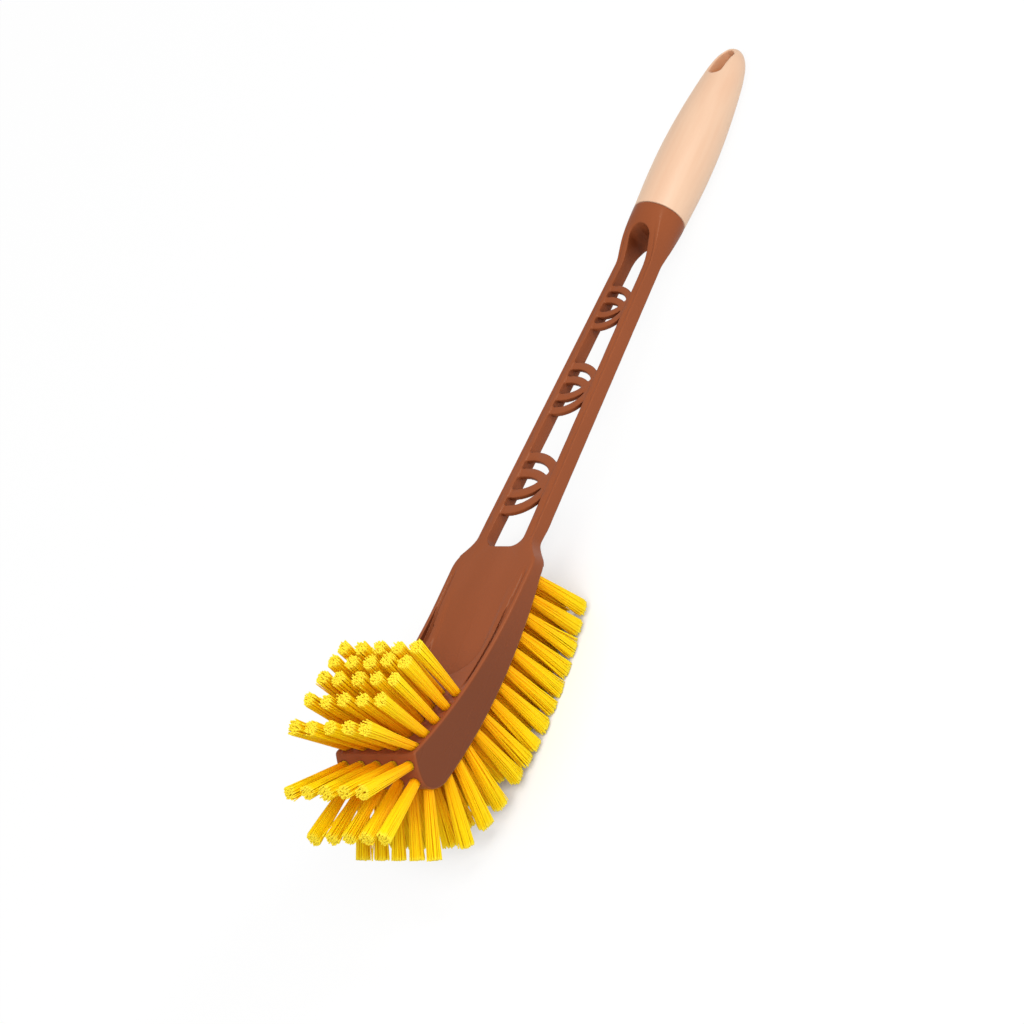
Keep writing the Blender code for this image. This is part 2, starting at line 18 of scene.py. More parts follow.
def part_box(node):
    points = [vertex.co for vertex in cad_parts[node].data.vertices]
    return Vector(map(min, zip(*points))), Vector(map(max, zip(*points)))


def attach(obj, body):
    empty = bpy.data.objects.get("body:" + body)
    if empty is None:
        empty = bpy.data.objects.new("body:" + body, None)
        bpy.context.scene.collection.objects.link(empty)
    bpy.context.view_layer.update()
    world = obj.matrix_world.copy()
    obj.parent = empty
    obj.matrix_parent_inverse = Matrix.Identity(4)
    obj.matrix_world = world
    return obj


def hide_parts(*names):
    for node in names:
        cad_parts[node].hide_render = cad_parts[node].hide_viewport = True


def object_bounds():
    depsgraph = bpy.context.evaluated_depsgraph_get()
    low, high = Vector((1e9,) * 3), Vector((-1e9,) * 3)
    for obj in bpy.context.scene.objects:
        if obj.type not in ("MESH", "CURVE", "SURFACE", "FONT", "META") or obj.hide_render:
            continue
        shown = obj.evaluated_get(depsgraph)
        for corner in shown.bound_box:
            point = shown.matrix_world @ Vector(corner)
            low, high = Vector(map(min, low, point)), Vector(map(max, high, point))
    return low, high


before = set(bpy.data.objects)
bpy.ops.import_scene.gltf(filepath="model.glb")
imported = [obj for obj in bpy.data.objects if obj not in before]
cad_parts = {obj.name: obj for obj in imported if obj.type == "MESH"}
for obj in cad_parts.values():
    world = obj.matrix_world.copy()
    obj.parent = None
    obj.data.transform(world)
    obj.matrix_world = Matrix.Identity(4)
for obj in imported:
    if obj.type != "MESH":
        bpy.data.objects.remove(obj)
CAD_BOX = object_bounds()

bl_info = {
    "name": "Toilet Brush",
    "version": (1, 0, 0),
    "blender": (4, 5, 0),
    "location": "3D View > Sidebar > Toilet Brush",
    "description": "Builds a toilet brush: its moulded body, its grip, its rows of tufts and a studio",
    "category": "Add Mesh",
}


def length(name, description, default):
    return FloatProperty(name=name, description=description, default=default, unit="LENGTH", precision=5)


def share(name, description, default):
    return FloatProperty(name=name, description=description, default=default, precision=3)


def angle(name, description, degrees):
    radians = math.radians(degrees)
    return FloatProperty(name=name, description=description, default=radians, unit="ROTATION")


def angles(name, description, degrees):
    radians = [math.radians(value) for value in degrees]
    return FloatVectorProperty(
        name=name, description=description, default=radians, size=len(radians), unit="ROTATION"
    )


def lengths(name, description, values):
    return FloatVectorProperty(
        name=name, description=description, default=values, size=len(values), unit="LENGTH"
    )


def count(name, description, default):
    return IntProperty(name=name, description=description, default=default, min=1)


def colour(name, description, default):
    opaque = (*default, 1)
    return FloatVectorProperty(
        name=name, description=description, default=opaque, size=4, min=0, max=1, subtype="COLOR"
    )


class HeadSizes(bpy.types.PropertyGroup):
    """Sizes of the curved head, seen from the side and from above."""

    length: length("Length", "From the neck to the nose", 0.1242)
    width: length("Width", "Across the brush", 0.044)
    heel_place: length("Heel place", "Where the belly starts", 0.005)
    heel_depth: length("Heel depth", "How thick the head is at the heel", 0.0082)
    belly_radius: length("Belly radius", "Curve of the belly", 0.246)
    nose_radius: length("Nose radius", "Curve round the nose", 0.0142)
    nose_lift: length("Nose lift", "How far the nose curls up", 0.0048)
    nose_flat: length("Nose flat", "How far the end of the nose is flattened", 0.0015)
    nose_slant: angle("Nose slant", "How far the flat end looks up", 31)
    front_straight: length("Front straight", "Flat stretch of the front by the neck", 0.022)
    front_radius: length("Front radius", "Curve of the front", 0.280)
    edge_round: length("Edge rounding", "Rounding of the outer edges", 0.0013)
    shoulder_start: length("Shoulder start", "Where the shoulders leave the shaft", 0.0105)
    shoulder_length: length("Shoulder length", "Length of the S-shaped shoulders", 0.0195)
    shoulder_blend: length("Shoulder blend", "Softness of the shoulder's outer corner", 0.0030)
    shoulder_lean: length("Shoulder lean", "How far the shoulders' foot juts towards the grip", 0.0030)


class PanelSizes(bpy.types.PropertyGroup):
    """Sizes of the front of the head: the lips at its sides and the sunken panel between them."""

    start: length("Start", "Where lips and panel begin at the neck", 0.002)
    to_tufts: length("To tufts", "From the panel's round end to the first row", 0.0112)
    end_round: length("End rounding", "Corner radius of the panel's round end", 0.0145)
    draft: length("Draft", "How far the panel's walls lean out", 0.0012)
    sink: length("Sink", "How far the floor sinks below the neck", 0.0030)
    edge_round: length("Edge rounding", "Rounding where the walls meet the front", 0.0006)
    lip: length("Lip", "Width of the raised lips at the sides", 0.0021)
    lip_start: length("Lip start", "Where the lips begin to rise", 0.017)
    lip_rise: length("Lip rise", "Length over which they rise", 0.028)
    lip_height: length("Lip height", "Their height beside the panel", 0.0017)
    lip_at_tufts: length("Lip at the tufts", "Their height beside the tufts", 0.0008)
    groove_start: length("Groove start", "Where the grooves inside the lips begin", 0.003)
    groove_rise: length("Groove rise", "Length over which they get deep", 0.008)
    groove_width: length("Groove width", "Width of the grooves at their start", 0.0014)
    groove_widening: length("Groove widening", "How much wider they get", 0.0012)
    groove_depth: length("Groove depth", "Depth of the grooves", 0.0008)
    strip: length("Strip", "Width of the strip between groove and panel", 0.0023)


class ShaftSizes(bpy.types.PropertyGroup):
    """Sizes of the openwork shaft with its window and crossing arcs, and of the collar."""

    depth: length("Depth", "Thickness of the rails", 0.0068)
    edge_round: length("Edge rounding", "Rounding of the rails' outer edges", 0.0006)
    side_draft: length("Side draft", "How much wider the shaft is at its back", 0.0009)
    line_inset: length("Line inset", "From the rails' outer edge to the line along them", 0.0007)
    line_width: length("Line width", "Width of the line along the rails", 0.0008)
    line_depth: length("Line depth", "Depth of the line along the rails", 0.0004)
    line_turn: length("Line turn", "How far the line runs inwards on the collar", 0.0045)
    line_fade: length("Line fade", "Length over which the line dies out at the grip", 0.022)
    neck_half_width: length("Neck half width", "Half the width at the neck", 0.0153)
    collar_start: length("Collar start", "Where the collar begins", 0.160)
    collar_start_half_width: length("Collar start half width", "Half the width there", 0.0095)
    collar_length: length("Collar length", "From the flat bar to the grip", 0.024)
    collar_round: length("Collar rounding", "How much rounder the edges get on the collar", 0.0035)
    front_lead: length("Front lead", "How far before the collar its front starts to rise", 0.004)
    side_lead: length("Side lead", "How far before the collar it starts to widen", 0.003)
    window_start: length("Window start", "The window's end at the head", 0.0056)
    window_end: length("Window end", "The top of the window's arch", 0.1746)
    window_start_half: length("Window start half width", "Half the window's width there", 0.0100)
    window_end_half: length("Window end half width", "Half the window's width there", 0.0053)
    window_corner: length("Window corner", "Corner radius at the head", 0.0060)
    window_round: length("Window rounding", "Rounding of the window's edges", 0.0004)
    arc_places: lengths("Arc places", "The groups of arcs along the shaft", (0.0390, 0.0900, 0.1337))
    arc_recess: length("Arc recess", "How far the arcs lie below the front", 0.0008)
    arc_thickness: length("Arc thickness", "Thickness of the arcs", 0.0022)
    arc_round: length("Arc rounding", "Rounding of the arcs' edges", 0.0002)
    arc_fillet: length("Arc fillet", "Fillet where arcs meet rails and each other", 0.0005)
    arc_radius: share("Arc radius", "In half widths of the window", 1.88)
    arc_band: share("Arc band", "Width of an arc, in half widths of the window", 0.50)
    arc_bay: share("Arc bay", "Reach of a group, in half widths of the window", 2.2)


class GripSizes(bpy.types.PropertyGroup):
    """Sizes of the turned grip, its hanging slot and the spigot that carries it."""

    axis_depth: length("Axis depth", "The grip's axis below the front of the shaft", 0.0030)
    base_radius: length("Base radius", "Radius at the collar", 0.01185)
    length: length("Length", "From the collar to the tip", 0.0903)
    gap: length("Gap", "Clearance at the collar and on the spigot", 0.0003)
    base_round: length("Base rounding", "Rounding of the edge at the collar", 0.0003)
    swell: share("Swell", "How much the grip swells", 0.097)
    swell_end: share("Swell end", "Where the swell ends", 0.886)
    taper: share("Taper", "How much it tapers", 0.531)
    taper_start: share("Taper start", "Where the taper starts", 0.10)
    tip_start: share("Tip start", "Where the round tip starts", 0.665)
    tip_power: share("Tip power", "Fullness of the round tip", 5.4)
    slot_length: length("Slot length", "Length of the hanging slot", 0.0156)
    slot_width: length("Slot width", "Width of the hanging slot", 0.0066)
    slot_wall: length("Slot wall", "Material between slot and tip", 0.0027)
    slot_round: length("Slot rounding", "Rounding of the slot's edges", 0.0009)
    spigot_radius: length("Spigot radius", "Radius of the core inside the grip", 0.0062)
    spigot_length: length("Spigot length", "Length of the core inside the grip", 0.044)
    spigot_point: length("Spigot point", "Rounding of the core's end", 0.0015)


class TuftSizes(bpy.types.PropertyGroup):
    """Places and sizes of the tufts and their filaments."""

    columns: count("Columns", "Tufts in a row", 5)
    to_side: length("To side", "From the outer tufts to the side of the head", 0.0042)
    splay: angle("Splay", "How much more each column leans outwards", 1.6)
    front_rows: count("Front rows", "Rows on the front of the nose", 5)
    front_pitch: length("Front pitch", "Distance between the front rows", 0.0090)
    front_to_nose: length("Front to nose", "From the last front row to the nose", 0.0117)
    front_leans: angles("Front leans", "Lean of each front row", (4, 4, 6, 13, 23))
    front_length: length("Front length", "Length of the front tufts", 0.0360)
    nose_places: angles("Nose places", "Places of the rows round the nose", (34, -2, -42))
    nose_tilts: angles("Nose tilts", "Directions of the tufts there", (35, 7, -41))
    nose_lengths: lengths("Nose lengths", "Lengths of the tufts there", (0.0360, 0.0337, 0.0308))
    belly_rows: count("Belly rows", "Rows along the belly", 13)
    belly_first: length("Belly first", "Place of the first belly row", 0.0054)
    belly_to_nose: length("Belly to nose", "From the last belly row to the nose", 0.0162)
    belly_heel_lean: angle("Belly heel lean", "Lean of the first belly row", 14)
    belly_middle_lean: angle("Belly middle lean", "Lean of the last straight belly row", 1)
    belly_nose_leans: angles("Belly nose leans", "Leans of the fanned belly rows", (-12, -20, -30))
    belly_length: length("Belly length", "Length of the end tufts of the belly", 0.0340)
    belly_swell: length("Belly swell", "How much longer the middle ones are", 0.0022)
    hole_radius: length("Hole radius", "Radius of the drilled holes", 0.00215)
    hole_depth: length("Hole depth", "Depth of the drilled holes", 0.0040)
    filaments: count("Filaments", "Filaments of a tuft", 110)
    filament_radius: length("Filament radius", "Radius of a filament", 0.00033)
    root_radius: length("Root radius", "Radius of a tuft in its hole", 0.00185)
    tip_radius: length("Tip radius", "Radius of a tuft at its tip", 0.0031)
    belly_tip_radius: length("Belly tip radius", "Radius of a belly tuft at its tip", 0.0036)
    uneven_tips: length("Uneven tips", "How much shorter some filaments are", 0.00050)
    bend: length("Bend", "How far a filament's tip bends aside", 0.00030)
    seed: count("Seed", "Seed of the random draws", 7)


class Finish(bpy.types.PropertyGroup):
    """Colours of the three plastics, among them colours of painted shade and a painted highlight."""

    brown: colour("Brown", "The moulded body", (0.276, 0.075, 0.028))
    brown_dark: colour("Brown, darker", "The body's darker mottling", (0.252, 0.067, 0.024))
    # Painted shade: the head's sides drawn darker towards the nose
    brown_flank_shade: colour("Brown, flank", "The head's flat sides near the nose", (0.168, 0.046, 0.019))
    # Painted shade: the body in its corners and hollows
    brown_hollow_shade: colour("Brown, deep", "The body in its corners and hollows", (0.070, 0.010, 0.002))
    pale: colour("Pale", "The grip", (0.725, 0.49, 0.332))
    pale_streak: colour("Pale streak", "The grip's soft streaks", (0.69, 0.425, 0.275))
    # Painted shade: the darker band along the grip
    pale_shade_band: colour("Pale band", "The grip's darker lengthwise band", (0.65, 0.335, 0.19))
    # Painted shade: the grip in its slot and bore
    pale_slot_shade: colour("Pale, deep", "The grip inside its slot", (0.62, 0.20, 0.03))
    # Painted shade: the filaments darker and more orange towards their roots; the tip colour is the lit
    # yellow
    filament_root_shade: colour("Filament root", "Filaments at their roots", (1.0, 0.44, 0.0))
    filament_tip: colour("Filament tip", "Filaments at their tips", (1.0, 0.74, 0.003))
    # Painted shade: filaments shut in by other tufts
    filament_shade_between_tufts: colour("Filament, deep", "Filaments between other tufts", (1.0, 0.30, 0.0))
    # Painted highlight: the pale last stretch at the filaments' tips
    filament_end_highlight: colour("Filament end", "The filaments' pale cut ends", (1.0, 0.80, 0.04))
    glow: share("Filament glow", "Share of the light that passes through the filaments", 0.05)


class Studio(bpy.types.PropertyGroup):
    """Camera and lights."""

    frame_width: length("Frame width", "What the picture takes in, side to side", 0.4385)
    camera_distance: length("Camera distance", "From the camera to the brush", 16.0)
    key: FloatProperty(name="Key", description="Strength of the light above the nose", default=12.8)
    rim: FloatProperty(name="Rim", description="Strength of the light beside the grip", default=2.9)
    ambient: FloatProperty(name="Ambient", description="Strength of the sky", default=0.65)
    bounce: share("Bounce", "How much light the floor gives back", 0.68)


class ToiletBrush(bpy.types.PropertyGroup):
    """All sizes and colours of the brush."""

    head: PointerProperty(type=HeadSizes)
    panel: PointerProperty(type=PanelSizes)
    shaft: PointerProperty(type=ShaftSizes)
    grip: PointerProperty(type=GripSizes)
    tufts: PointerProperty(type=TuftSizes)
    finish: PointerProperty(type=Finish)
    studio: PointerProperty(type=Studio)


# Plan of an arc group, in half widths of the window: the way that each band opens (-1 towards the
# nose, 1 towards the grip) and the place of its centre, along and across
ARC_BANDS = ((-1, -0.21, 0.60), (-1, -1.16, 0.60), (1, 0.41, 0.80), (1, 1.36, 0.80))
# How far the arcs reach into the rails, and the rounding of the nose's flat end
ARC_RAIL_BITE = 0.0018
NOSE_ROUND = 0.003

# Cells of the distance fields, their margin, and the share of the faces that thinning keeps
BODY_CELL = 0.0004
GRIP_CELL = 0.00035
FIELD_MARGIN = 0.0012
BODY_KEEP = 0.38
GRIP_KEEP = 0.6

# Where a filament's rings of points lie, as shares of its length above the surface, how many
# points a ring has, and how much narrower the last one is
FILAMENT_RINGS = np.array([-0.07, 0.04, 0.25, 0.5, 0.75, 0.985, 1.0])
FILAMENT_SIDES = 6
FILAMENT_END = 0.85
# Random differences: a filament's place in its tuft, how wide a tuft opens, how far it leans, the
# share of strays and how much more they bend, and the tones of filaments and of whole tufts
PLACE_SPREAD = 0.07
OPENING_RANGE = (0.92, 1.08)
LEAN_SPREAD = 0.010
STRAY_SHARE = 0.04
STRAY_BEND = 3
TONE_SPREAD = 0.18
TUFT_TONE_SPREAD = 0.06
# The share of the half width past which filaments are pressed inwards, so that none passes it
SIDE_SQUEEZE = 0.92


def smooth(value):
    """A share, held between 0 and 1, with a soft start and end."""
    value = np.clip(value, 0, 1)
    return value * value * (3 - 2 * value)


def both(*fields, rounding=0.0):
    """The intersection of solids, with its edge rounded."""
    least = fields[0]
    corner = np.maximum(fields[0] + rounding, 0) ** 2
    for field in fields[1:]:
        least = np.maximum(least, field)
        corner = corner + np.maximum(field + rounding, 0) ** 2
    return np.sqrt(corner) + np.minimum(least + rounding, 0) - rounding


def either(*fields, fillet=0.0):
    """The union of solids, with a fillet between them."""
    return -both(*[-field for field in fields], rounding=fillet)


def without(solid, cutter, rounding=0.0):
    return both(solid, -cutter, rounding=rounding)


def soft_least(a, b, blend):
    """The smaller of two values, blended where they are close."""
    near = np.clip(0.5 + 0.5 * (b - a) / blend, 0, 1)
    return b + (a - b) * near - blend * near * (1 - near)


class Grid:
    """Sample points a cell apart, as one open array for each of x, y and z."""

    def __init__(self, low, high, cell):
        self.low = np.array(low) - FIELD_MARGIN
        self.cell = cell
        steps = np.ceil((np.array(high) + FIELD_MARGIN - self.low) / cell).astype(int) + 1
        axes = [low + cell * np.arange(n) for low, n in zip(self.low, steps)]
        self.axes = [axis.astype(np.float32) for axis in axes]
        self.x, self.y, self.z = np.ix_(*self.axes)

    def window(self, centre, reach):
        """The part of the grid within reach of a point: index ranges and open arrays."""
        ranges = []
        for axis, middle in zip(self.axes, centre):
            first, last = np.searchsorted(axis, (middle - reach, middle + reach))
            ranges.append(slice(first, last))
        arrays = np.ix_(*[axis[part] for axis, part in zip(self.axes, ranges)])
        return tuple(ranges), arrays

    def stretch(self, start, end):
        """The part of the grid between two places along x: an index range and its open arrays."""
        first, last = np.searchsorted(self.axes[0], (start, end))
        return slice(first, last), (self.x[first:last], self.y, self.z)


def surface_net(field, grid):
    """Points and quads of the surface where the field is zero: a point in each cell it crosses."""
    inside = field < 0
    cells_shape = [n - 1 for n in field.shape]
    corners = [(i, j, k) for i in (0, 1) for j in (0, 1) for k in (0, 1)]
    filled = np.zeros(cells_shape, np.uint8)
    for corner in corners:
        filled += inside[tuple(slice(c, c + n) for c, n in zip(corner, cells_shape))]
    cells = np.argwhere((filled > 0) & (filled < len(corners)))
    number = np.full(cells_shape, -1, np.int32)
    number[tuple(cells.T)] = np.arange(len(cells))
    values = {corner: field[tuple((cells + corner).T)] for corner in corners}
    total = np.zeros((len(cells), 3))
    crossings = np.zeros(len(cells))
    for corner in corners:
        for axis in range(3):
            if corner[axis]:
                continue
            other = tuple(1 if i == axis else c for i, c in enumerate(corner))
            start, end = values[corner], values[other]
            crossed = (start < 0) != (end < 0)
            point = np.repeat(np.array([corner], float), len(cells), 0)
            point[:, axis] = start / np.where(crossed, start - end, 1)
            total[crossed] += point[crossed]
            crossings += crossed
    points = grid.low + grid.cell * (cells + total / crossings[:, None])
    quads = []
    for axis in range(3):
        before = [slice(1, -1)] * 3
        after = [slice(1, -1)] * 3
        before[axis], after[axis] = slice(0, -1), slice(1, None)
        changed = inside[tuple(before)] != inside[tuple(after)]
        edges = np.argwhere(changed) + np.array([0 if i == axis else 1 for i in range(3)])
        first, second = (axis + 1) % 3, (axis + 2) % 3
        ring = []
        for back_first, back_second in ((0, 0), (1, 0), (1, 1), (0, 1)):
            cell = edges.copy()
            cell[:, first] -= back_first
            cell[:, second] -= back_second
            ring.append(number[tuple(cell.T)])
        ring = np.stack(ring, 1)
        turned = ~inside[tuple(edges.T)]
        ring[turned] = ring[turned][:, ::-1]
        quads.append(ring)
    return points, np.concatenate(quads)


def mesh_from(name, points, faces):
    """A mesh from an array of points and arrays of faces with equal numbers of corners each."""
    faces = [np.asarray(group) for group in faces]
    corners = np.concatenate([group.ravel() for group in faces])
    sizes = np.concatenate([np.full(len(group), group.shape[1]) for group in faces])
    mesh = bpy.data.meshes.new(name)
    mesh.vertices.add(len(points))
    mesh.vertices.foreach_set("co", np.asarray(points, np.float32).ravel())
    mesh.loops.add(len(corners))
    mesh.loops.foreach_set("vertex_index", corners.astype(np.int32))
    mesh.polygons.add(len(sizes))
    mesh.polygons.foreach_set("loop_start", (np.cumsum(sizes) - sizes).astype(np.int32))
    mesh.update(calc_edges=True)
    mesh.validate()
    return mesh


def add_piece(name, mesh, material, nodes):
    """Adds a piece that rides on the brush and stands for these CAD nodes."""
    mesh.materials.append(material)
    obj = bpy.data.objects.new(name, mesh)
    bpy.context.scene.collection.objects.link(obj)
    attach(obj, "root")
    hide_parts(*nodes)


def thinned(mesh, keep):
    """The mesh, thinned to this share of its faces where it is flattest."""
    helper = bpy.data.objects.new("thinning", mesh)
    bpy.context.scene.collection.objects.link(helper)
    modifier = helper.modifiers.new("thinned", "DECIMATE")
    modifier.ratio = keep
    graph = bpy.context.evaluated_depsgraph_get()
    result = bpy.data.meshes.new_from_object(helper.evaluated_get(graph))
    result.name = mesh.name
    bpy.data.objects.remove(helper)
    return result


def brush_pose(brush):
    """How the brush lies, read from the CAD grip, which is round about one line.

    Its principal direction is the brush's +X, and its tip lies on the grip's axis.
    """
    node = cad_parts["grip"]
    points = np.array([vertex.co for vertex in node.data.vertices])
    middle = points.mean(0)
    axis = np.linalg.svd(points - middle, full_matrices=False)[2][0]
    axis *= np.sign(axis[0])
    tip = Vector(middle + ((points - middle) @ axis).max() * axis)
    turn = Matrix.Rotation(math.atan2(-axis[2], axis[0]), 4, "Y")
    own_tip = Vector((grip_tip(brush), 0, -brush.grip.axis_depth))
    return Matrix.Translation(tip) @ turn @ Matrix.Translation(-own_tip)


def collar_end(brush):
    return brush.shaft.collar_start + brush.shaft.collar_length


def grip_start(brush):
    return collar_end(brush) + brush.grip.gap


def grip_tip(brush):
    return grip_start(brush) + brush.grip.length


class HeadOutline:
    """The side outline of the head, in (s, z): a straight and an arc in front, the nose, the belly."""

    def __init__(self, head):
        self.sizes = head
        self.nose = Vector((head.length - head.nose_radius, head.nose_lift))
        self.heel = Vector((head.heel_place, -head.heel_depth))
        self.front = Vector((head.front_straight, head.front_radius))
        between = self.nose - self.heel
        nose_reach = head.belly_radius - head.nose_radius
        reach = (head.belly_radius**2 - nose_reach**2 + between.length_squared) / (2 * between.length)
        aside = math.sqrt(head.belly_radius**2 - reach**2)
        along = between.normalized()
        self.belly = self.heel + reach * along + aside * Vector((-along.y, along.x))

    @staticmethod
    def low_point(centre, radius, s):
        """The point at s on the lower half of a circle."""
        aside = s - centre.x
        outward = Vector((aside, -math.sqrt(radius**2 - aside**2))) / radius
        return centre + radius * outward

    def front_at(self, s):
        if s <= self.front.x:
            return Vector((s, 0))
        return self.low_point(self.front, self.sizes.front_radius, s)

    def belly_at(self, s):
        return self.low_point(self.belly, self.sizes.belly_radius, s)

    def nose_at(self, place):
        return self.nose + self.sizes.nose_radius * Vector((math.cos(place), math.sin(place)))

    def front_level(self, s):
        """The height of the front surface."""
        radius = self.sizes.front_radius
        aside = np.maximum(s - self.front.x, 0)
        return self.front.y - np.sqrt(radius**2 - aside**2)

    def front_field(self, s, z):
        """The distance above the front surface."""
        arc = self.sizes.front_radius - np.hypot(s - self.front.x, z - self.front.y)
        return np.where(s < self.front.x, z, arc)

    def lower_field(self, s, z, neck, neck_depth):
        """The distance below the belly, round the nose and under the heel, up to the neck."""
        belly = np.hypot(s - self.belly.x, z - self.belly.y) - self.sizes.belly_radius
        nose = np.hypot(s - self.nose.x, z - self.nose.y) - self.sizes.nose_radius
        slant = self.sizes.nose_slant
        out = (s - self.nose.x) * math.cos(slant) + (z - self.nose.y) * math.sin(slant)
        flat = out - self.sizes.nose_radius + self.sizes.nose_flat
        nose = both(nose, flat, rounding=NOSE_ROUND)
        towards = self.nose - self.belly
        beyond = towards.x * (z - self.belly.y) - towards.y * (s - self.belly.x) > 0
        slope = (neck_depth + self.heel.y) / (self.heel.x - neck)
        under_heel = (slope * (s - neck) - neck_depth - z) / math.hypot(1, slope)
        head = np.where(beyond, nose, belly)
        return np.where(s > self.heel.x, head, under_heel)


def shaft_half_width(brush, x):
    shaft = brush.shaft
    slope = (shaft.neck_half_width - shaft.collar_start_half_width) / shaft.collar_start
    return shaft.neck_half_width - slope * x


def window_half_width(brush, x):
    shaft = brush.shaft
    along = (x - shaft.window_start) / (shaft.window_end - shaft.window_start)
    return shaft.window_start_half + along * (shaft.window_end_half - shaft.window_start_half)


def plan_half_width(brush, x):
    """Half the width of head and shaft along the brush, with the S-shaped shoulders."""
    head = brush.head
    neck = shaft_half_width(brush, head.shoulder_start)
    beyond = head.width / 2 + head.shoulder_blend
    shoulder = neck + smooth((head.shoulder_start - x) / head.shoulder_length) * (beyond - neck)
    shoulder = soft_least(shoulder, head.width / 2, head.shoulder_blend)
    return np.where(x > head.shoulder_start, shaft_half_width(brush, x), shoulder)


def swelling(brush, x, lead=0.0):
    """The share of the collar's swelling at x, where it starts this far before the collar."""
    shaft = brush.shaft
    return smooth((x - shaft.collar_start + lead) / (shaft.collar_length + lead))


def outer_half_width(brush, x):
    """Half the width of the whole moulding, collar and all."""
    shaft = brush.shaft
    wide = plan_half_width(brush, np.minimum(x, shaft.collar_start))
    swell = brush.grip.base_radius - shaft.collar_start_half_width
    return wide + swelling(brush, x, shaft.side_lead) * swell


def front_height(brush, x):
    """The height of the front of shaft and collar."""
    shaft, grip = brush.shaft, brush.grip
    return swelling(brush, x, shaft.front_lead) * (grip.base_radius - grip.axis_depth)


def moulding_field(brush, grid):
    """Head, flat bar and collar in one: flat faces that turn round towards the grip."""
    head, shaft, grip = brush.head, brush.shaft, brush.grip
    x, y, z = grid.x, grid.y, grid.z
    outline = HeadOutline(head)
    along = (x - shaft.collar_start) / shaft.collar_length
    flare = swelling(brush, x)
    by_neck = 1 - smooth((x - head.shoulder_start) / head.shoulder_length)
    lean = head.shoulder_lean * np.clip(-z / head.heel_depth, 0, 1) * by_neck
    half = outer_half_width(brush, x - lean)
    low = -shaft.depth + flare * (shaft.depth - grip.axis_depth - grip.base_radius)
    high = front_height(brush, x)
    leaning = np.hypot(1, np.gradient(half, grid.cell, axis=0))
    drafted = np.clip(-z / shaft.depth, 0, 1) * smooth(x / head.shoulder_start - 1) * (1 - flare)
    side = (np.abs(y) - half - shaft.side_draft * drafted) / leaning
    front = np.where(x > 0, z - high, outline.front_field(-x, z))
    neck = -head.shoulder_start
    lower = np.where(x > -neck, low - z, outline.lower_field(-x, z, neck, shaft.depth))
    rounding = np.where(x > 0, shaft.edge_round + flare * shaft.collar_round, head.edge_round)
    flat = both(side, front, lower, rounding=rounding)
    middle, deep = (low + high) / 2, (high - low) / 2
    turned = (np.hypot(y / half, (z - middle) / deep) - 1) * np.minimum(half, deep)
    field = flat + smooth(along) * (turned - flat)
    return both(field, x - collar_end(brush), rounding=grip.base_round)


def window_field(brush, x, y):
    """Straight converging sides, a round arch at the collar and round corners at the head."""
    shaft = brush.shaft
    arch_centre = shaft.window_end - shaft.window_end_half
    arch_half = window_half_width(brush, arch_centre)
    stretch = shaft.window_end_half / arch_half
    arch = np.hypot((x - arch_centre) / stretch, y) - arch_half
    side = np.abs(y) - window_half_width(brush, x)
    straight = both(side, shaft.window_start - x, rounding=shaft.window_corner)
    return np.where(x > arch_centre, arch, straight)


def arc_group_field(brush, place, x, y, z):
    """Two arches that start across the far rail and two that sweep up from it, crossing."""
    shaft = brush.shaft
    half = window_half_width(brush, place)
    radius = shaft.arc_radius * half
    width = shaft.arc_band * half
    bands = []
    for opening, centre_along, centre_across in ARC_BANDS:
        across_band = x - place - centre_along * half
        ring = np.abs(np.hypot(across_band, y - centre_across * half) - radius) - width / 2
        bands.append(np.maximum(ring, opening * across_band))
    plan = either(*bands, fillet=shaft.arc_fillet)
    bay = np.maximum(
        np.abs(y) - window_half_width(brush, x) - ARC_RAIL_BITE,
        np.abs(x - place) - shaft.arc_bay * half,
    )
    level = np.abs(z + shaft.arc_recess + shaft.arc_thickness / 2) - shaft.arc_thickness / 2
    return np.maximum(both(plan, level, rounding=shaft.arc_round), bay)


def first_front_row(brush):
    tufts = brush.tufts
    return brush.head.length - tufts.front_to_nose - (tufts.front_rows - 1) * tufts.front_pitch


def fading_in(depth, reached, margin):
    """The depth of a cut that starts a margin above the surface and reaches its depth gradually."""
    return (depth + margin) * smooth(reached) - margin


def panel_field(brush, x, y, z):
    """What is cut from the front of the head: the ground between the lips, its grooves, the panel."""
    panel, half = brush.panel, brush.head.width / 2
    s = -x
    end = first_front_row(brush) - panel.to_tufts
    margin = panel.edge_round
    inward = half - np.abs(y)
    front = HeadOutline(brush.head).front_level(s)
    to_tufts = smooth((s - end) / panel.to_tufts)
    lip_height = fading_in(panel.lip_height, (s - panel.lip_start) / panel.lip_rise, margin)
    ground = front - lip_height + to_tufts * (panel.lip_height - panel.lip_at_tufts)
    tray = both(panel.lip - inward, ground - z, rounding=panel.edge_round / 2)
    to_groove = (s - panel.groove_start) / panel.groove_rise
    dip = fading_in(panel.groove_depth, to_groove, margin) * (1 - to_tufts)
    risen = smooth((s - panel.lip_start) / panel.lip_rise)
    width = panel.groove_width + panel.groove_widening * risen
    beside = np.abs(inward - panel.lip - width / 2) - width / 2
    groove = np.maximum(beside, np.minimum(ground, front) - dip - z)
    floor = -fading_in(panel.sink, (s - panel.start) / (end - panel.start), margin)
    depth = np.maximum(ground - floor, margin)
    rise = np.clip((z - floor) / depth, 0, 1)
    panel_side = panel.lip + width + panel.strip - inward
    plan = both(panel_side, s - end, rounding=panel.end_round)
    wall = (plan + panel.draft * (1 - rise)) / np.hypot(1, panel.draft / depth)
    pocket = both(wall, floor - z, rounding=panel.edge_round)
    pocket = np.maximum(pocket, panel.start - s)
    return np.minimum(np.minimum(np.maximum(tray, panel.start - s), groove), pocket)


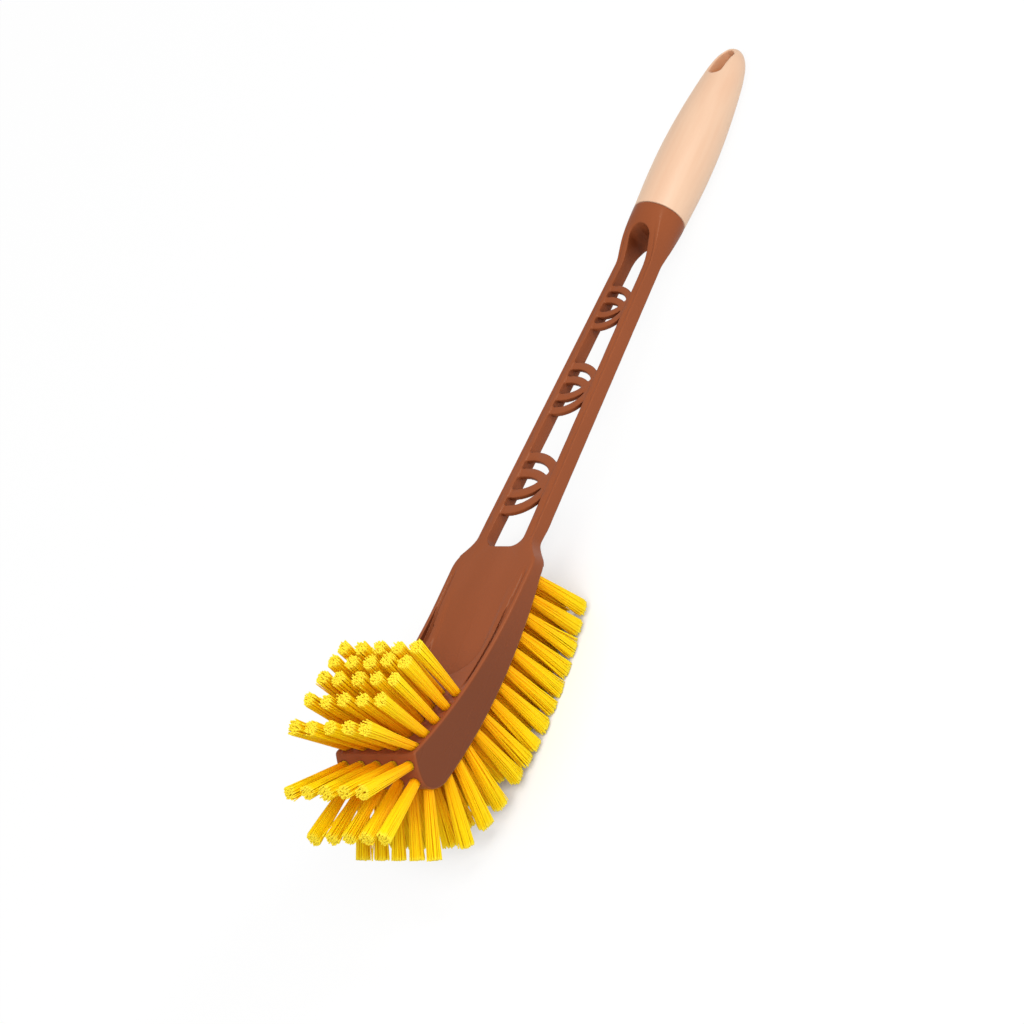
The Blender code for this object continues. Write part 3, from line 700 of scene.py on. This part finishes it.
def rail_line_field(brush, x, y, z, moulding):
    """The fine line along the edges of the shaft's front, which runs inwards on the collar."""
    shaft = brush.shaft
    inward = outer_half_width(brush, x) - np.abs(y)
    inset = shaft.line_inset + swelling(brush, x) * shaft.line_turn
    beside = np.abs(inward - inset - shaft.line_width / 2) - shaft.line_width / 2
    fade = smooth((collar_end(brush) - x) / shaft.line_fade)
    deep = -moulding - fading_in(shaft.line_depth, fade, shaft.line_width / 4)
    return np.maximum(np.maximum(beside, deep), -shaft.line_width - z)


def spigot_field(brush, x, y, z):
    grip = brush.grip
    out = np.hypot(y, z + grip.axis_depth) - grip.spigot_radius
    end = x - collar_end(brush) - grip.spigot_length
    return both(out, end, collar_end(brush) - 2 * grip.spigot_radius - x, rounding=grip.spigot_point)


def tuft_rows(brush):
    """Each row's name, root, tuft direction and tuft length, in (s, z)."""
    head, tufts = brush.head, brush.tufts
    outline = HeadOutline(head)
    found = []
    for row in range(tufts.front_rows):
        root = outline.front_at(first_front_row(brush) + row * tufts.front_pitch)
        lean = tufts.front_leans[row]
        along = Vector((math.sin(lean), math.cos(lean)))
        found.append((f"front_{row + 1}", root, along, tufts.front_length))
    for row, (place, tilt) in enumerate(zip(tufts.nose_places, tufts.nose_tilts)):
        along = Vector((math.cos(tilt), math.sin(tilt)))
        found.append((f"nose_{row + 1}", outline.nose_at(place), along, tufts.nose_lengths[row]))
    straight = tufts.belly_rows - len(tufts.belly_nose_leans)
    pitch = (head.length - tufts.belly_to_nose - tufts.belly_first) / (tufts.belly_rows - 1)
    for row in range(tufts.belly_rows):
        root = outline.belly_at(tufts.belly_first + row * pitch)
        if row < straight:
            towards_nose = row / (straight - 1)
            lean = tufts.belly_heel_lean
            lean += towards_nose * (tufts.belly_middle_lean - tufts.belly_heel_lean)
        else:
            lean = tufts.belly_nose_leans[row - straight]
        along = Vector((-math.sin(lean), -math.cos(lean)))
        swell = tufts.belly_swell * math.sin(math.pi * row / (tufts.belly_rows - 1))
        found.append((f"belly_{row + 1:02d}", root, along, tufts.belly_length + swell))
    return found


def row_tufts(brush, root, along):
    """The root and direction of each tuft of a row, in the brush's frame."""
    tufts = brush.tufts
    middle = (tufts.columns - 1) / 2
    pitch = (brush.head.width - 2 * tufts.to_side) / (tufts.columns - 1)
    for column in range(tufts.columns):
        aside = column - middle
        splay = aside * tufts.splay
        direction = math.cos(splay) * Vector((-along.x, 0, along.y))
        direction = direction + math.sin(splay) * Vector((0, 1, 0))
        yield Vector((-root.x, aside * pitch, root.y)), direction


def drill_holes(brush, grid, field):
    """Cuts the tufts' holes into the field."""
    tufts = brush.tufts
    reach = 2 * tufts.hole_radius + tufts.hole_depth
    for _, row_root, along, _ in tuft_rows(brush):
        for root, direction in row_tufts(brush, row_root, along):
            ranges, (x, y, z) = grid.window(root, reach)
            x, y, z = x - root.x, y - root.y, z - root.z
            out = x * direction.x + y * direction.y + z * direction.z
            radial = np.sqrt(np.maximum(x * x + y * y + z * z - out * out, 0))
            hole = np.maximum(radial - tufts.hole_radius, -tufts.hole_depth - out)
            hole = np.maximum(hole, out - reach)
            field[ranges] = without(field[ranges], hole, tufts.hole_radius / 8)


def body_field(brush, grid):
    """The whole moulding as one field."""
    head, panel, shaft = brush.head, brush.panel, brush.shaft
    field = moulding_field(brush, grid)
    field = without(field, window_field(brush, grid.x, grid.y), shaft.window_round)
    part, place = grid.stretch(-head.length, -panel.groove_start)
    field[part] = without(field[part], panel_field(brush, *place), panel.edge_round)
    part, place = grid.stretch(head.shoulder_start, collar_end(brush))
    line = rail_line_field(brush, *place, field[part])
    field[part] = without(field[part], line, shaft.line_width / 4)
    for middle in shaft.arc_places:
        reach = shaft.arc_bay * window_half_width(brush, middle) + FIELD_MARGIN
        part, place = grid.stretch(middle - reach, middle + reach)
        group = arc_group_field(brush, middle, *place)
        field[part] = either(field[part], group, fillet=shaft.arc_fillet)
    part, place = grid.stretch(shaft.window_end, grid.axes[0][-1])
    field[part] = np.minimum(field[part], spigot_field(brush, *place))
    drill_holes(brush, grid, field)
    return field


def grip_radius_squared(grip, along):
    """The outer radius squared at this share of the grip's length, negative beyond the tip."""
    swell = 1 + grip.swell * np.sin(math.pi * np.clip(along / grip.swell_end, 0, 1))
    taper = 1 - grip.taper * np.maximum(along - grip.taper_start, 0) ** 2
    tip = 1 - np.maximum((along - grip.tip_start) / (1 - grip.tip_start), 0) ** grip.tip_power
    return (grip.base_radius * swell * taper) ** 2 * tip


def grip_field(brush, grid):
    """The turned grip with its blind bore and hanging slot."""
    grip = brush.grip
    x, y, z = grid.x, grid.y, grid.z + grip.axis_depth
    start = grip_start(brush)
    tip = grip_tip(brush)
    out = np.hypot(y, z)
    raw = out**2 - grip_radius_squared(grip, (x - start) / grip.length)
    slope = np.sqrt(sum(part**2 for part in np.gradient(raw, grid.cell)))
    field = raw / np.maximum(slope, grip.base_radius / 2)
    field = both(field, start - x, rounding=grip.base_round)
    bore_end = collar_end(brush) + grip.spigot_length + 2 * grip.gap
    bore = np.maximum(out - grip.spigot_radius - grip.gap, x - bore_end)
    field = without(field, bore, grip.base_round)
    radius = grip.slot_width / 2
    first = tip - grip.slot_wall - grip.slot_length + radius
    last = tip - grip.slot_wall - radius
    slot = np.hypot(x - np.clip(x, first, last), y) - radius
    return without(field, slot, grip.slot_round)


def laid(points, pose):
    """Points in the brush's own frame, moved to where the brush lies."""
    return points @ np.array(pose.to_3x3()).T + np.array(pose.translation)


def field_mesh(name, field, grid, pose, keep):
    """The solid's surface as a mesh in its place on the floor."""
    points, quads = surface_net(field, grid)
    points = np.clip(laid(points, pose), *CAD_BOX)
    mesh = thinned(mesh_from(name, points, [quads]), keep)
    mesh.shade_smooth()
    return mesh


class Wire:
    """A socket in a material, so that shader maths can be written as Python expressions."""

    def __init__(self, shading, socket):
        self.shading = shading
        self.socket = socket

    def maths(self, operation, *values):
        return self.shading.add("Math", {"operation": operation}, dict(enumerate(values)))

    def __add__(self, other):
        return self.maths("ADD", self, other)

    def __sub__(self, other):
        return self.maths("SUBTRACT", self, other)

    def __rsub__(self, other):
        return self.maths("SUBTRACT", other, self)

    def __mul__(self, other):
        return self.maths("MULTIPLY", self, other)

    def __abs__(self):
        return self.maths("ABSOLUTE", self)

    __radd__ = __add__
    __rmul__ = __mul__


# Depth of the plastics' fine grain
BUMP_DEPTH = 0.0003


class Shading:
    """The node tree of a material or world, with one method that adds any node."""

    def __init__(self, tree):
        self.tree = tree
        tree.nodes.clear()

    def add(self, kind, settings=None, inputs=None, output=0):
        """Adds a node: its settings first, then the values or wires of its sockets."""
        node = self.tree.nodes.new(f"ShaderNode{kind}")
        for name, value in (settings or {}).items():
            setattr(node, name, value)
        for name, value in (inputs or {}).items():
            if isinstance(value, Wire):
                self.tree.links.new(value.socket, node.inputs[name])
            else:
                node.inputs[name].default_value = value
        return Wire(self, node.outputs[output]) if node.outputs else None

    def mix(self, factor, first, second):
        """A colour between two colours."""
        return self.add("Mix", {"data_type": "RGBA"}, {0: factor, 6: first, 7: second}, 2)

    def parts(self, vector):
        """A vector's three parts."""
        part = self.add("SeparateXYZ", {}, {"Vector": vector})
        return [Wire(self, socket) for socket in part.socket.node.outputs]

    def noise(self, place, scale, detail, roughness=0.5):
        inputs = {"Vector": place, "Scale": scale, "Detail": detail, "Roughness": roughness}
        return self.add("TexNoise", {}, inputs)

    def ramp(self, wire, low, high):
        """The wire's values from low to high, spread over 0 to 1 with soft ends."""
        settings = {"interpolation_type": "SMOOTHSTEP"}
        return self.add("MapRange", settings, {"Value": wire, "From Min": low, "From Max": high})

    def place(self, stretch=(1, 1, 1)):
        """The place from the scene's origin, turned to the brush's own directions and stretched."""
        turn = brush_pose(bpy.context.scene.toilet_brush).inverted().to_euler()
        turned = self.add("Mapping", {}, {"Vector": self.add("TexCoord", output=3), "Rotation": turn})
        return self.add("Mapping", {}, {"Vector": turned, "Scale": stretch})

    def open_air(self, distance, samples, only_local=True):
        """How open the surface lies: 0 deep in a corner, 1 with nothing near it."""
        settings = {"samples": samples, "only_local": only_local}
        return self.add("AmbientOcclusion", settings, {"Distance": distance}, 1)

    def bump(self, height, strength):
        return self.add("Bump", {}, {"Strength": strength, "Distance": BUMP_DEPTH, "Height": height})


def grey(level):
    return (level, level, level, 1)


def new_material(name):
    material = bpy.data.materials.new(name)
    material.use_nodes = True
    return material, Shading(material.node_tree)


# Where the flanks' painted shade starts and is darkest, along the brush from the scene's origin
FLANK_DARKENS = (-0.03, -0.14)


def brown_plastic(finish):
    """Satin brown moulded plastic: faint mottling, the mould's fine grain, painted shade on flanks and
    in corners.
    """
    material, shading = new_material("brown_plastic")
    place = shading.place((0.6, 1, 1))
    clouds = shading.noise(place, scale=26, detail=3)
    flow = shading.noise(shading.place((0.25, 1, 1)), scale=90, detail=2)
    mottle = shading.ramp(clouds * 0.7 + flow * 0.3, 0.28, 0.72)
    base = shading.mix(mottle, finish.brown_dark, finish.brown)
    # Painted shade: the sides of the head, which face across the brush, turn darker towards the nose
    facing = shading.parts(shading.add("TexCoord", output=1))
    flank = shading.ramp(abs(facing[1]), 0.75, 0.98)
    along = shading.parts(shading.place())[0]
    base = shading.mix(flank * shading.ramp(along, *FLANK_DARKENS), base, finish.brown_flank_shade)
    grain = shading.noise(place, scale=2200, detail=2)
    waves = shading.noise(place, scale=160, detail=2)
    # Painted shade: the brown darkens where the body's own corners and hollows shut the surface in
    open_air = shading.open_air(distance=0.016, samples=8)
    base = shading.mix(shading.ramp(open_air, 0.36, 0.90), finish.brown_hollow_shade, base)
    inputs = {"Base Color": base, "Roughness": 0.25 + mottle * 0.05, "IOR": 1.49}
    inputs["Normal"] = shading.bump(grain + waves * 2, strength=0.10)
    inputs.update({"Specular IOR Level": 0.13, "Specular Tint": (1, 0.72, 0.5, 1)})
    shader = shading.add("BsdfPrincipled", {}, inputs)
    shading.add("OutputMaterial", {}, {"Surface": shader})
    return material


# The grip's darker band is painted shade. It winds about a line along the brush, this far below the
# scene's origin. Its turn at the origin and its twist in a metre are in radians, and the streaks make it
# waver. Each pair goes from where there is no band to where it is full: beside its middle, in radians,
# and along the brush from the scene's origin, at the band's two ends
BAND_LINE = 0.003
BAND_TURN = -3.97
BAND_TWIST = 20
BAND_WAVER = 0.3
BAND_EDGE = (0.50, 0.12)
BAND_FADES_IN = (0.200, 0.235)
BAND_FADES_OUT = (0.274, 0.262)


def pale_plastic(finish):
    """Pale wood-toned plastic with soft streaks along the grip, and painted shade in a band and in the
    slot.
    """
    material, shading = new_material("wood_toned_plastic")
    streaks = shading.noise(shading.place((0.08, 1, 1)), scale=60, detail=3, roughness=0.6)
    fine = shading.noise(shading.place((0.05, 1, 1)), scale=420, detail=2)
    mask = shading.ramp(streaks * 0.8 + fine * 0.2, 0.40, 0.70)
    base = shading.mix(mask, finish.pale, finish.pale_streak)
    along, across, up = shading.parts(shading.place())
    turn = across.maths("ARCTAN2", up + BAND_LINE, across * -1) + streaks * BAND_WAVER
    beside = abs(turn - along * BAND_TWIST - BAND_TURN)
    # Painted shade: a darker band that winds along the grip
    band = shading.ramp(beside, *BAND_EDGE) * shading.ramp(along, *BAND_FADES_IN)
    band = band * shading.ramp(along, *BAND_FADES_OUT)
    base = shading.mix(band, base, finish.pale_shade_band)
    # Painted shade: the grip darkens in its slot and bore, where the surface is shut in
    open_air = shading.open_air(distance=0.012, samples=8)
    base = shading.mix(shading.ramp(open_air, 0.0, 0.85), finish.pale_slot_shade, base)
    grain = shading.noise(shading.place((0.3, 1, 1)), scale=1500, detail=2)
    inputs = {"Base Color": base, "Roughness": 0.42 + mask * 0.05, "IOR": 1.49}
    inputs["Normal"] = shading.bump(grain, strength=0.08)
    inputs.update({"Sheen Weight": 0.35, "Sheen Roughness": 0.5, "Sheen Tint": (1, 0.85, 0.68, 1)})
    shader = shading.add("BsdfPrincipled", {}, inputs)
    shading.add("OutputMaterial", {}, {"Surface": shader})
    return material


def yellow_filament(finish):
    """Yellow filament, with painted shade towards its root and between other tufts, a painted highlight
    at its cut end.
    """
    material, shading = new_material("yellow_filament")
    along = shading.add("Attribute", {"attribute_name": "along"}, {}, 2)
    tone = shading.add("Attribute", {"attribute_name": "tone"}, {}, 2)
    # Painted shade: from the darker orange at the roots to the lit yellow at the tips
    lightness = shading.ramp(along + (tone - 0.5) * 0.5, -0.25, 1.0)
    base = shading.mix(lightness, finish.filament_root_shade, finish.filament_tip)
    # Painted shade: filaments turn orange where other tufts shut them in
    open_air = shading.open_air(distance=0.02, samples=3, only_local=False)
    openness = shading.ramp(open_air + along * 0.25, 0.0, 0.6)
    base = shading.mix(openness, finish.filament_shade_between_tufts, base)
    # Painted highlight: the last stretch of each filament turns pale
    base = shading.mix(shading.ramp(along, 0.93, 1.0), base, finish.filament_end_highlight)
    inputs = {"Base Color": base, "Roughness": 0.45 + tone * 0.1, "IOR": 1.5}
    inputs.update({"Specular IOR Level": 0.1, "Sheen Weight": 0.65})
    inputs.update({"Sheen Roughness": 0.4, "Sheen Tint": (1, 0.75, 0.02, 1)})
    shader = shading.add("BsdfPrincipled", {}, inputs)
    through = shading.add("BsdfTranslucent", {}, {"Color": finish.filament_tip})
    surface = shading.add("MixShader", {}, {0: finish.glow, 1: shader, 2: through})
    shading.add("OutputMaterial", {}, {"Surface": surface})
    return material


def filament_lines(tufts, root, direction, tuft_length, tip_radius, rng):
    """Centre lines of a tuft's filaments, one row of points each, and the two axes across them."""
    number = np.arange(tufts.filaments)
    out = np.sqrt((number + 0.5) / tufts.filaments)
    turn = number * math.pi * (3 - math.sqrt(5)) + rng.uniform(0, 2 * math.pi)
    offset = np.stack((out * np.cos(turn), out * np.sin(turn)), 1)
    offset += rng.normal(0, PLACE_SPREAD, offset.shape)
    opening = rng.uniform(*OPENING_RANGE) - 1
    aside = direction.cross(Vector((0, 1, 0))).normalized()
    axes = np.array((aside, direction.cross(aside)))
    lean = rng.normal(0, LEAN_SPREAD, 2)
    wander = rng.normal(0, tufts.bend, offset.shape)
    stray = rng.random(tufts.filaments) < STRAY_SHARE
    wander[stray] *= STRAY_BEND
    ends = tuft_length - np.abs(rng.normal(0, tufts.uneven_tips, tufts.filaments))
    lines = np.zeros((tufts.filaments, len(FILAMENT_RINGS), 3))
    for ring, at in enumerate(FILAMENT_RINGS):
        above = max(at, 0)
        radius = tufts.root_radius + above * (tip_radius - tufts.root_radius)
        plane = offset * (radius * (1 + opening * above)) + wander * above**2
        plane = plane + lean * above * tuft_length
        lines[:, ring] = np.array(root) + np.outer(ends * at, direction) + plane @ axes
    return lines, axes


def tube_points(lines, axes, radius):
    """Rings of points round the filaments' centre lines, narrower at the tips."""
    turn = 2 * math.pi * np.arange(FILAMENT_SIDES) / FILAMENT_SIDES
    rim = np.stack((np.cos(turn), np.sin(turn)), 1) @ axes
    sizes = np.full(len(FILAMENT_RINGS), radius)
    sizes[-1] *= FILAMENT_END
    return lines[:, :, None] + sizes[:, None, None] * rim


def tube_mesh(name, points, tones_and_shade):
    """Filaments with closed ends, which know how far along each point lies and how light each filament
    is: at random, and darker inside its tuft as painted shade.
    """
    filaments, rings, sides = points.shape[:3]
    number = np.arange(filaments * rings * sides).reshape(filaments, rings, sides)
    following = np.roll(number, -1, 2)
    walls = np.stack((number[:, :-1], following[:, :-1], following[:, 1:], number[:, 1:]), -1)
    walls = walls.reshape(-1, 4)
    mesh = mesh_from(name, points.reshape(-1, 3), [walls, number[:, 0, ::-1], number[:, -1]])
    mesh.polygons.foreach_set("use_smooth", np.arange(len(mesh.polygons)) < len(walls))
    values = {"along": FILAMENT_RINGS[:, None], "tone": tones_and_shade[:, None, None]}
    for its_name, value in values.items():
        everywhere = np.broadcast_to(value, number.shape).astype(np.float32)
        mesh.attributes.new(its_name, "FLOAT", "POINT").data.foreach_set("value", everywhere.ravel())
    return mesh


def row_mesh(brush, name, root, along, tuft_length, pose, rng):
    """A row of tufts where it stands on the brush, pressed in where it would pass the sides."""
    tufts = brush.tufts
    tip_radius = tufts.belly_tip_radius if "belly" in name else tufts.tip_radius
    # Painted shade: the share by which filaments nearer a tuft's middle are drawn darker
    inwards = 1 - np.sqrt(np.arange(tufts.filaments) / tufts.filaments)
    points, tones_and_shade = [], []
    for tuft_root, direction in row_tufts(brush, root, along):
        lines, axes = filament_lines(tufts, tuft_root, direction, tuft_length, tip_radius, rng)
        points.append(tube_points(lines, axes, tufts.filament_radius))
        # A random tone for each filament, lowered on the inner ones as painted shade inside the tuft
        tone = rng.normal(0.5, TONE_SPREAD, tufts.filaments) + rng.normal(0, TUFT_TONE_SPREAD)
        tones_and_shade.append(np.clip(tone - inwards, 0, 1))
    points = laid(np.concatenate(points), pose)
    widest = CAD_BOX[1][1]
    free = SIDE_SQUEEZE * widest
    beyond = np.abs(points[..., 1]) - free
    pressed = free + (widest - free) * np.tanh(beyond / (widest - free))
    points[..., 1] = np.where(beyond > 0, np.sign(points[..., 1]) * pressed, points[..., 1])
    return tube_mesh(name, np.clip(points, *CAD_BOX), np.concatenate(tones_and_shade))


class BRUSH_OT_body(bpy.types.Operator):
    """Model the one-piece body: head, openwork shaft, collar and spigot"""

    bl_idname = "toilet_brush.body"
    bl_label = "Body"

    def execute(self, context):
        brush = context.scene.toilet_brush
        head, pose = brush.head, brush_pose(brush)
        half = head.width / 2
        end = collar_end(brush) + brush.grip.spigot_length
        low = (-head.length, -half, -2 * head.heel_depth)
        grid = Grid(low, (end, half, head.nose_lift + head.nose_radius), BODY_CELL)
        mesh = field_mesh("body", body_field(brush, grid), grid, pose, BODY_KEEP)
        add_piece("body", mesh, brown_plastic(brush.finish), ["brush_body"])
        return {"FINISHED"}


class BRUSH_OT_grip(bpy.types.Operator):
    """Model the pale grip with its bore and hanging slot"""

    bl_idname = "toilet_brush.grip"
    bl_label = "Grip"

    def execute(self, context):
        brush = context.scene.toilet_brush
        grip, pose = brush.grip, brush_pose(brush)
        widest = grip.base_radius * (1 + grip.swell)
        low = (grip_start(brush), -widest, -widest - grip.axis_depth)
        grid = Grid(low, (grip_tip(brush), widest, widest - grip.axis_depth), GRIP_CELL)
        mesh = field_mesh("handle_grip", grip_field(brush, grid), grid, pose, GRIP_KEEP)
        material = pale_plastic(brush.finish)
        add_piece("handle_grip", mesh, material, ["grip"])
        return {"FINISHED"}


class BRUSH_OT_tufts(bpy.types.Operator):
    """Plant the rows of tufts, filament by filament"""

    bl_idname = "toilet_brush.tufts"
    bl_label = "Tufts"

    def execute(self, context):
        brush = context.scene.toilet_brush
        rng = np.random.default_rng(brush.tufts.seed)
        pose = brush_pose(brush)
        material = yellow_filament(brush.finish)
        for name, root, along, tuft_length in tuft_rows(brush):
            piece = f"tufts_{name}"
            mesh = row_mesh(brush, piece, root, along, tuft_length, pose, rng)
            add_piece(piece, mesh, material, [f"bristle_row_{name}"])
        return {"FINISHED"}


# The picture's axes and middle, in the brush's frame
CAMERA_RIGHT = Vector((0.3734, -0.782, -0.498))
CAMERA_UP = Vector((0.800, 0, 0.599))
CAMERA_TARGET = Vector((0.0177, -0.0053, 0.0079))
SENSOR_WIDTH = 36
# The lights' places and sizes, and the place that they point at
KEY_PLACE = (-0.55, -0.74, 1.26)
KEY_SIZE = 0.9
RIM_PLACE = (0.42, -0.62, 0.66)
RIM_SIZE = 0.18
LIGHTS_AIM = (0, 0, 0.03)
# The floor: its reach, how bright it is to the camera by the brush, the distances from the lowest
# tufts between which it turns plain white to the camera, and how far it does
FLOOR_REACH = 8.0
FLOOR_BY_BRUSH = 0.94
TURNS_WHITE = (0.035, 0.10)
WHITE_SHARE = 0.9


def add_camera(studio, pose):
    backward = CAMERA_RIGHT.cross(CAMERA_UP).normalized()
    right = CAMERA_UP.cross(backward).normalized()
    up = backward.cross(right)
    turn = Matrix((right, up, backward)).transposed().to_4x4()
    data = bpy.data.cameras.new("camera")
    data.sensor_width = SENSOR_WIDTH
    data.lens = SENSOR_WIDTH * studio.camera_distance / studio.frame_width
    data.clip_end = 10 * studio.camera_distance
    camera = bpy.data.objects.new("camera", data)
    place = Matrix.Translation(CAMERA_TARGET + studio.camera_distance * backward)
    camera.matrix_world = pose @ place @ turn
    bpy.context.scene.collection.objects.link(camera)
    bpy.context.scene.camera = camera


def add_light(name, place, size, strength):
    """A soft square light: its size softens the shadows."""
    data = bpy.data.lights.new(name, "AREA")
    data.size = size
    data.energy = strength
    light = bpy.data.objects.new(name, data)
    light.location = place
    light.rotation_mode = "QUATERNION"
    light.rotation_quaternion = (Vector(LIGHTS_AIM) - Vector(place)).to_track_quat("-Z", "Y")
    bpy.context.scene.collection.objects.link(light)


def contact_place():
    """Where the lowest row of tufts meets the floor."""
    rows = [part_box(name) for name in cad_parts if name.startswith("bristle_row")]
    low, high = min(rows, key=lambda box: box[0][2])
    return ((low[0] + high[0]) / 2, 0, 0)


def floor_material(studio):
    """White floor: it keeps the brush's shadow by the tufts, and further off glows white to the camera
    as painted light.
    """
    material, shading = new_material("studio_floor")
    camera = shading.add("LightPath")
    seen = shading.mix(camera, grey(studio.bounce), grey(FLOOR_BY_BRUSH))
    diffuse = shading.add("BsdfDiffuse", {}, {"Color": seen})
    white = shading.add("Emission", {}, {"Color": grey(1), "Strength": 1.0})
    ends = {0: shading.add("TexCoord", output=3), 1: contact_place()}
    away = shading.add("VectorMath", {"operation": "DISTANCE"}, ends, "Value")
    # Painted light: away from the lowest tufts the floor glows white to the camera and covers the
    # brush's shadow
    whitened = shading.ramp(away, *TURNS_WHITE) * WHITE_SHARE
    surface = shading.add("MixShader", {}, {0: camera * whitened, 1: diffuse, 2: white})
    shading.add("OutputMaterial", {}, {"Surface": surface})
    return material


def add_world(studio):
    """An even white sky, which the camera sees as plain white."""
    world = bpy.data.worlds.new("studio")
    bpy.context.scene.world = world
    world.use_nodes = True
    shading = Shading(world.node_tree)
    camera = shading.add("LightPath", output="Is Camera Ray")
    strength = studio.ambient + camera * (1 - studio.ambient)
    sky = shading.add("Background", {}, {"Color": grey(1), "Strength": strength})
    shading.add("OutputWorld", {}, {"Surface": sky})


class BRUSH_OT_studio(bpy.types.Operator):
    """Set up the white floor, the soft lights and the camera"""

    bl_idname = "toilet_brush.studio"
    bl_label = "Studio"

    def execute(self, context):
        brush = context.scene.toilet_brush
        studio = brush.studio
        signs = ((-1, -1, 0), (1, -1, 0), (1, 1, 0), (-1, 1, 0))
        mesh = mesh_from("floor", FLOOR_REACH * np.array(signs), [[(0, 1, 2, 3)]])
        floor = bpy.data.objects.new("floor", mesh)
        floor.data.materials.append(floor_material(studio))
        context.scene.collection.objects.link(floor)
        add_world(studio)
        add_light("key", KEY_PLACE, KEY_SIZE, studio.key)
        add_light("rim", RIM_PLACE, RIM_SIZE, studio.rim)
        add_camera(studio, brush_pose(brush))
        context.scene.view_settings.view_transform = "Standard"
        return {"FINISHED"}


class BRUSH_PT_panel(bpy.types.Panel):
    """Toilet brush"""

    bl_idname = "BRUSH_PT_panel"
    bl_label = "Toilet Brush"
    bl_space_type = "VIEW_3D"
    bl_region_type = "UI"
    bl_category = "Toilet Brush"

    def draw(self, context):
        brush = context.scene.toilet_brush
        for part in ToiletBrush.__annotations__:
            group, box = getattr(brush, part), self.layout.box()
            for name in type(group).__annotations__:
                box.prop(group, name)
        for operator in OPERATORS:
            self.layout.operator(operator.bl_idname)


GROUPS = (HeadSizes, PanelSizes, ShaftSizes, GripSizes, TuftSizes, Finish, Studio, ToiletBrush)
OPERATORS = (BRUSH_OT_body, BRUSH_OT_grip, BRUSH_OT_tufts, BRUSH_OT_studio)
CLASSES = (*GROUPS, *OPERATORS, BRUSH_PT_panel)


def register():
    for its_class in CLASSES:
        bpy.utils.register_class(its_class)
    bpy.types.Scene.toilet_brush = PointerProperty(type=ToiletBrush)


def unregister():
    del bpy.types.Scene.toilet_brush
    for its_class in reversed(CLASSES):
        bpy.utils.unregister_class(its_class)


def main():
    register()
    bpy.ops.toilet_brush.body()
    bpy.ops.toilet_brush.grip()
    bpy.ops.toilet_brush.tufts()
    bpy.ops.toilet_brush.studio()


if __name__ == "__main__":
    main()
